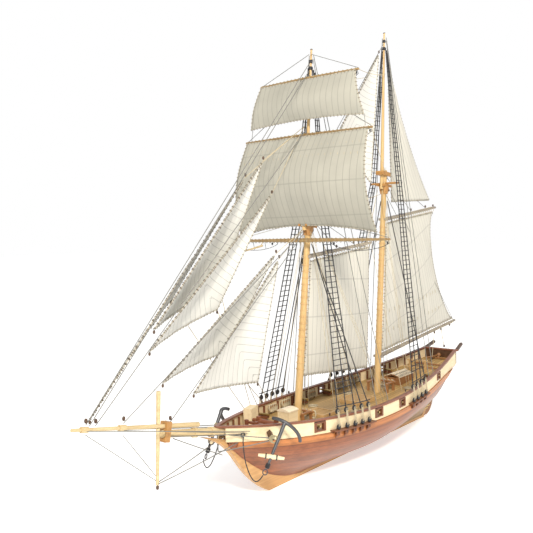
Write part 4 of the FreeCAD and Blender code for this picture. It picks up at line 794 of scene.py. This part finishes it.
for word, yard_at, reach in YARDS:
    gear = Build()
    turns = int(reach * 2 / 4.2)
    for k in range(turns + 1):
        y = -reach * 0.95 + 2 * reach * 0.95 * k / turns
        thick = 1.7 * (1 - 0.5 * abs(y) / reach)
        gear.loop(yard_at + Vector((0.25, y, -0.2)), (0, 1, 0.12), thick + 0.45, 0.24, 4, 10)
    gear.done(word + "_robands", ROPE_OLIVE, word)
    foot = Build()
    inner = 28 if word == "fore_yard" else 4
    for side in (1, -1):
        path = []
        for k in range(17):
            u = k / 16
            y = side * (inner + (reach - inner - 2) * u)
            path.append(yard_at + Vector((-2.4, y, footrope_drop(u))))
        foot.tube(path, 0.24, 5)
        for u in (0.0, 0.25, 0.5, 0.75, 1.0):
            y = side * (inner + (reach - inner - 2) * u)
            low = yard_at + Vector((-2.4, y, footrope_drop(u)))
            foot.line(yard_at + Vector((-1.0, y, -0.6)), low, 0.2)
        foot.block(yard_at + Vector((0, side * (reach - 2.2), -2.6)), 2.2, 1.6, 1.2)
        foot.block(yard_at + Vector((0, side * (inner + 4.0), -2.8)), 2.4, 1.7, 1.3)
    foot.done(word + "_footropes", ROPE_BLACK, word)

clews = Build()
for side in (1, -1):
    clews.line((66.5, side * 69.5, 201.0), (70.6, side * 70.5, 196.6), 0.28)
    clews.block((68.8, side * 70.0, 198.6), 2.0, 1.5, 1.2)
clews.done("topsail_clew_lines", ROPE_GREY, "topsail_yard")
clews = Build()
for side in (1, -1):
    clews.line((62.6, side * 57.6, 292.6), (63.4, side * 58.5, 283.4), 0.26)
clews.done("topgallant_clew_lines", ROPE_GREY, "topgallant_yard")

pole = Build()
pole.tube([(74.4, -40.0, 190.6), (73.6, -52.0, 188.0), (72.8, -64.0, 185.4)], 0.9, 8, 0.7)
pole.line((74.2, -42.0, 190.4), (71.2, -42.0, 194.0), 0.3)
pole.line((73.0, -60.0, 186.4), (71.2, -60.0, 194.0), 0.3)
pole.done("studding_boom", CREAM, "fore_yard")


def lacing(name, start, end, offset, radius, pitch, material, body):
    """Turns of cord round a spar and the edge of its sail."""
    build = Build()
    a, b = Vector(start), Vector(end)
    count = int((b - a).length / pitch)
    for k in range(count + 1):
        point = a.lerp(b, k / count) + Vector((0, 0, offset))
        build.loop(point, (b - a), radius, 0.24, 4, 12)
    build.done(name, material, body)


lacing("main_boom_lacing", (-62.0, 0, 81.0), (-208.0, 0, 93.4), 1.3, 3.0, 4.6, ROPE_CREAM, "main_boom")
lacing("main_gaff_lacing", (-74.0, 0, 212.4), (-164.0, 0, 223.0), -1.3, 2.8, 4.4, ROPE_CREAM, "main_boom")
lacing("fore_gaff_lacing", (52.0, 0, 181.6), (-32.0, 0, 189.0), -1.3, 2.8, 4.4, ROPE_CREAM, "fore_gaff")

reefs = Build()
grid = BUILT["mainsail_cloth"]
for row in (7, 14):
    for j in range(3, 42, 3):
        p = grid[row][j]
        for side in (1, -1):
            reefs.tube([p + Vector((0, side * 0.4, 0)), p + Vector((0.2, side * 1.0, -1.6)),
                        p + Vector((0, side * 0.7, -3.6))], 0.2, 5)
reefs.done("mainsail_reef_points", ROPE_CREAM, "main_boom")
reefs = Build()
grid = BUILT["topsail_cloth"]
for row in (34, 39):
    for j in range(2, 44, 2):
        p = grid[row][j]
        reefs.tube([p + Vector((0.4, 0, 0)), p + Vector((0.9, 0.1, -1.5)),
                    p + Vector((0.7, 0, -3.2))], 0.18, 5)
reefs.done("topsail_reef_points", ROPE_CREAM, "topsail_yard")


def pin_at(x, side):
    """Where a line ends at a pin rail."""
    return (x, side * (rail_half(x) - 4.7), rail_z(x) - 1.0)


halyards = Build()
FORE_TOPS = ((60.5, 2.6, 205.0), (60.0, -2.6, 205.0), (61.0, 1.0, 222.0), (61.0, -1.2, 222.0))
MAIN_TOPS = ((-68.5, 2.4, 242.0), (-68.5, -2.4, 242.0), (-66.5, 1.0, 262.0), (-66.5, -1.0, 262.0))
for tops, foot_x, deck_x, above in ((FORE_TOPS, 72.2, 72, 9.4), (MAIN_TOPS, -57.3, -57, 11.0)):
    for k, top in enumerate(tops):
        halyards.line(top, (foot_x, -8.4 + 4.2 * k, deck_top(deck_x) + above), 0.22)
for side in (1, -1):
    for k, x in enumerate((76.5, 70.5, 54.5, 48.5)):
        halyards.line((63.5 - k, side * 3.6, 203.0), pin_at(x, side), 0.2)
    for x in (12.5, 6.5):
        halyards.line((56.0, side * 2.4, 210.0), pin_at(x, side), 0.2)
    for x in (-34.0, -40.0):
        halyards.line((-56.0, side * 2.4, 240.0), pin_at(x, side), 0.2)
for k, (node, tack, head, clew, belly) in enumerate(JIBS[:5]):
    halyards.line(clew, (118.0 - 8 * k, -27.0, 59.5), 0.26, 1.0)
    halyards.line(head, (62.0, -1.6, 289.5) if head[2] > 200 else (66.6, -1.6, 204.0), 0.24)
halyards.done("running_lines", ROPE_CREAM, "hull")

blocks = Build()
HULL_BLOCKS = (
    (60.0, 3.4, 203.0), (60.0, -3.4, 203.0), (-67.0, 3.2, 240.0), (-67.0, -3.2, 240.0), (-69.0, 0, 252.0),
    (-70.0, 0, 256.0), (55.6, 0, 212.0), (55.4, 0, 216.0), (51.8, 0, 345.0), (-69.8, 0, 384.0),
    (288.6, 0, 93.0), (281.6, 0, 91.4), (260.6, 0, 88.0), (221.8, 0, 79.6), (235.0, 0, 36.0),
    (56.6, 1.6, 322.0), (56.6, -1.6, 322.0), (-181.0, 5.0, 70.0), (-158.0, 1.5, 59.6),
)
for x, y, z in HULL_BLOCKS:
    blocks.block((x, y, z), 3.2, 2.3, 1.8)
for node, tack, head, clew, belly in JIBS:
    blocks.block(Vector(clew) + Vector((0, 0, -1.8)), 2.6, 1.9, 1.4)
    blocks.block(Vector(head) + Vector((-1, 0, 2.4)), 2.8, 2.0, 1.5)
    blocks.block(Vector(tack) + Vector((0.5, 0, -2.0)), 2.6, 1.9, 1.4)
for side in (1, -1):
    for k, x in enumerate((86.0, 40.0, -24.0, -66.0)):
        blocks.block((x, side * (rail_half(x) - 2), rail_z(x) + 2.0), 2.6, 1.9, 1.4)
blocks.done("hull_blocks", BLOCK_WOOD, "hull")
blocks = Build()
for x, z in ((-118.0, 221.2), (-150.0, 224.8), (-168.0, 226.0),
             (-168.0, 86.6), (-184.0, 88.0), (-206.0, 90.4)):
    blocks.block((x, 0, z), 2.8, 2.1, 1.6)
blocks.done("boom_blocks", BLOCK_WOOD, "main_boom")
blocks = Build()
for x, z in ((20.0, 188.0), (-8.0, 190.6), (-26.0, 70.6)):
    blocks.block((x, 0, z), 2.8, 2.1, 1.6)
blocks.done("gaff_blocks", BLOCK_WOOD, "fore_gaff")


# ---------- coils, deck details ----------

def coil(build, x, y, z, turns=4, drop=6.0, facing=0.0):
    """A hank of line hung over a pin."""
    for k in range(turns):
        shift = (k - turns / 2) * 0.55
        centre = (x + shift * math.cos(facing), y + shift * math.sin(facing), z - drop * 0.42 - 0.2 * (k % 2))
        axis = (math.cos(facing), math.sin(facing) + 0.08 * k, 0.06 * (k % 3))
        build.loop(centre, axis, drop * 0.5, 0.42, 5, 12, 0.52)


coils = Build()
for side in (1, -1):
    for x in (72.0, 50.0, 8.0, -38.0, -62.0):
        for k in range(4):
            px = x + (k - 1.5) * 3.0
            coil(coils, px, side * (rail_half(px) - 5.6), rail_z(px) - 2.6, 3, 6.2, 1.57)
for bar_x, high in ((72.0, 7.4), (-57.5, 9.0)):
    for k in range(5):
        coil(coils, bar_x - 1.2, (k - 2) * 4.2, deck_top(bar_x) + high, 3, 6.6, 0.2)
for x, y in ((30.0, -22.0), (24.0, 20.0), (-70.0, 20.0), (-104.0, -16.0), (112.0, 8.0), (-26.0, -20.0)):
    for k in range(4):
        coils.loop((x, y, deck_top(x) - 0.6 + 0.75 * (k % 2)), (0, 0, 1), 1.6 + 0.85 * k, 0.42, 5, 16)
coils.done("rope_coils", ROPE_CREAM, "hull")

trim, panes = Build(), Build()
low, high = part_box("skylight")
x0, x1, y1, z1 = low[0] / MM, high[0] / MM, high[1] / MM, high[2] / MM
for side in (1, -1):
    tilt = -side * math.atan2(3.0, 9.0)
    panes.bar(((x0 + x1) / 2, side * y1 / 2, z1 - 1.3), x1 - x0 - 2.4, y1 * 0.94, 0.36, 0.0, tilt)
    for k in range(10):
        x = x0 + 1.6 + (x1 - x0 - 3.2) * k / 9
        trim.bar((x, side * y1 / 2, z1 - 1.0), 0.8, y1, 0.5, 0.0, tilt)
    for share in (0.12, 0.5, 0.95):
        trim.bar(((x0 + x1) / 2, side * share * y1, z1 + 0.5 - share * 3.0), x1 - x0, 0.8, 0.4, 0.0, tilt)
trim.bar(((x0 + x1) / 2, 0, z1 + 0.5), x1 - x0 + 1.0, 1.8, 0.9)
trim.done("skylight_slats", ROOF_WOOD, "hull", smooth=False)
panes.done("skylight_panes", BLACK_WOOD, "hull", smooth=False)

iron = Build()
for z in (8.0, 20.0, 32.0):
    x = -136.0 - 0.66 * z
    iron.bar((x + 0.2, 0, z), 7.0, 5.4, 1.1)
iron.done("gudgeons", BRASS, "hull", smooth=False)
iron = Build()
for z in (9.6, 21.6, 33.6):
    x = -136.0 - 0.66 * z - 5.6
    iron.bar((x, 0, z), 6.4, 3.5, 1.0)
iron.done("pintles", BRASS, "rudder", smooth=False)

bands = Build()
for side in (1, -1):
    middle, reach = Vector((153.6, 30.5 * side, 40.5)), Vector((-6.0, 7.2 * side, -1.6))
    for share in (-0.42, 0.42):
        bands.loop(middle + reach * share, reach, 1.75, 0.5, 5, 14)
    shank = Vector((20.0, -2.0 * side, -29.6))
    ring_at = Vector((158.7, 30.0 * side, 33.0)) + shank.normalized() * 2.6
    for k in range(4):
        bands.loop(ring_at - shank.normalized() * (3.4 + 0.9 * k), shank, 1.5, 0.42, 5, 12)
    bands.loop((161.5, side * 10.6, 55.0), (0.35, side, 0), 1.5, 0.5, 6, 16)
bands.done("anchor_bands", BLACK_WOOD, "hull")

lash = Build()
for side in (1, -1):
    for k in range(5):
        middle = (147.4 + 0.5 * k, side * (30.2 - 0.3 * k), 51.2 + 0.25 * k)
        lash.loop(middle, (0.6, side * 0.7, 0.1), 2.7, 0.32, 5, 14)
    lash.block((148.8, side * 28.8, 53.0), 3.6, 2.8, 2.4, (0.5, side * 0.5, 0.2))
lash.done("cathead_lashings", ROPE_OLIVE, "hull")

caps = Build()
for mast, z, radius in ((FORE_TOP, 344.0, 1.5), (MAIN_TOP, 383.6, 1.4),
                        (FORE_TOP, 338.4, 1.6), (MAIN_TOP, 376.6, 1.5)):
    axis = mast.at(z + 1) - mast.at(z)
    caps.tube([mast.at(z) - axis * 1.3, mast.at(z) + axis * 1.3], radius, 14)
for mast, z in ((FORE_TOP, 354.0), (MAIN_TOP, 391.4)):
    caps.block(mast.at(z + 0.3), 1.2, 2.2, 2.2)
caps.done("truck_caps", BLACK_WOOD, "hull")

slats = Build()
for x in (-172, -150, -138):
    slats.bar((x, 0, deck_top(x) + 1.2), 1.6, rail_half(x) * 1.2, 1.2)
slats.done("stern_gratings", BROWN, "hull", smooth=False)


# ---------- room, light, camera ----------

def plain(name, colour, rough=0.9):
    """One flat colour."""
    mat, tree, bsdf, out = shader(name)
    bsdf.inputs["Base Color"].default_value = (*colour, 1)
    bsdf.inputs["Roughness"].default_value = rough
    return mat


FLOOR_HALF, FLOOR_Z = 6, -0.0004    # metres
floor_mesh = bpy.data.meshes.new("floor")
floor_corners = [(x * FLOOR_HALF, y * FLOOR_HALF, FLOOR_Z) for x, y in ((-1, -1), (1, -1), (1, 1), (-1, 1))]
floor_mesh.from_pydata(floor_corners, [], [(0, 1, 2, 3)])
paper = plain("floor_paper", (0.90, 0.90, 0.89))
for node in paper.node_tree.nodes:
    if node.type == "BSDF_PRINCIPLED":
        node.inputs["Emission Color"].default_value = (1, 1, 1, 1)
        node.inputs["Emission Strength"].default_value = 0.5
floor_mesh.materials.append(paper)
floor = bpy.data.objects.new("floor", floor_mesh)
bpy.context.scene.collection.objects.link(floor)

# The world is brighter behind the model than on the camera's side.
world = bpy.data.worlds.new("studio")
world.use_nodes = True
sky = world.node_tree
way = sky.nodes.new("ShaderNodeTexCoord")
toward_wall = sky.nodes.new("ShaderNodeVectorMath")
toward_wall.operation = "DOT_PRODUCT"
toward_wall.inputs[1].default_value = (-0.76, -0.64, -0.05)
sky.links.new(way.outputs["Generated"], toward_wall.inputs[0])
spread = sky.nodes.new("ShaderNodeMapRange")
# Inputs 1 to 4 are from min, from max, to min and to max.
for k, value in ((1, 0.25), (2, 0.80), (3, 0.5), (4, 1.0)):
    spread.inputs[k].default_value = value
sky.links.new(toward_wall.outputs["Value"], spread.inputs[0])
sky.nodes["Background"].inputs[0].default_value = (1.0, 1.0, 1.0, 1)
sky.links.new(spread.outputs[0], sky.nodes["Background"].inputs[1])
bpy.context.scene.world = world
bpy.context.scene.view_settings.view_transform = "Standard"


def area_light(name, at, toward, size, energy, colour=(1, 1, 1)):
    """A round area light; places and size in metres."""
    data = bpy.data.lights.new(name, "AREA")
    data.shape = "DISK"
    data.size, data.energy, data.color = size, energy, colour
    obj = bpy.data.objects.new(name, data)
    obj.location = Vector(at)
    obj.rotation_euler = (Vector(toward) - Vector(at)).to_track_quat("-Z", "Y").to_euler()
    bpy.context.scene.collection.objects.link(obj)
    return obj


key = area_light("key", (0.85, 0.80, 0.95), (0.0, 0.0, 0.12), 0.22, 21.0, (1.0, 0.95, 0.86))
fill = area_light("fill", (0.2, 1.2, 0.35), (0.0, 0.0, 0.15), 0.9, 0.8)

# The photograph's camera.
yaw, pitch, roll = math.radians(-139.99), math.radians(-3.07), math.radians(-1.44)
forward = Vector((math.cos(pitch) * math.cos(yaw), math.cos(pitch) * math.sin(yaw), math.sin(pitch)))
right = Vector((math.sin(yaw), -math.cos(yaw), 0))
up = right.cross(forward)
turned_right = right * math.cos(roll) + up * math.sin(roll)
turned_up = up * math.cos(roll) - right * math.sin(roll)
camera_data = bpy.data.cameras.new("camera")
camera_data.lens, camera_data.sensor_width = 46.65, 36.0
camera = bpy.data.objects.new("camera", camera_data)
pose = Matrix((turned_right, turned_up, -forward)).transposed().to_4x4()
pose.translation = mm(529.6, 346.1, 204.5)
camera.matrix_world = pose
bpy.context.scene.collection.objects.link(camera)
bpy.context.scene.camera = camera
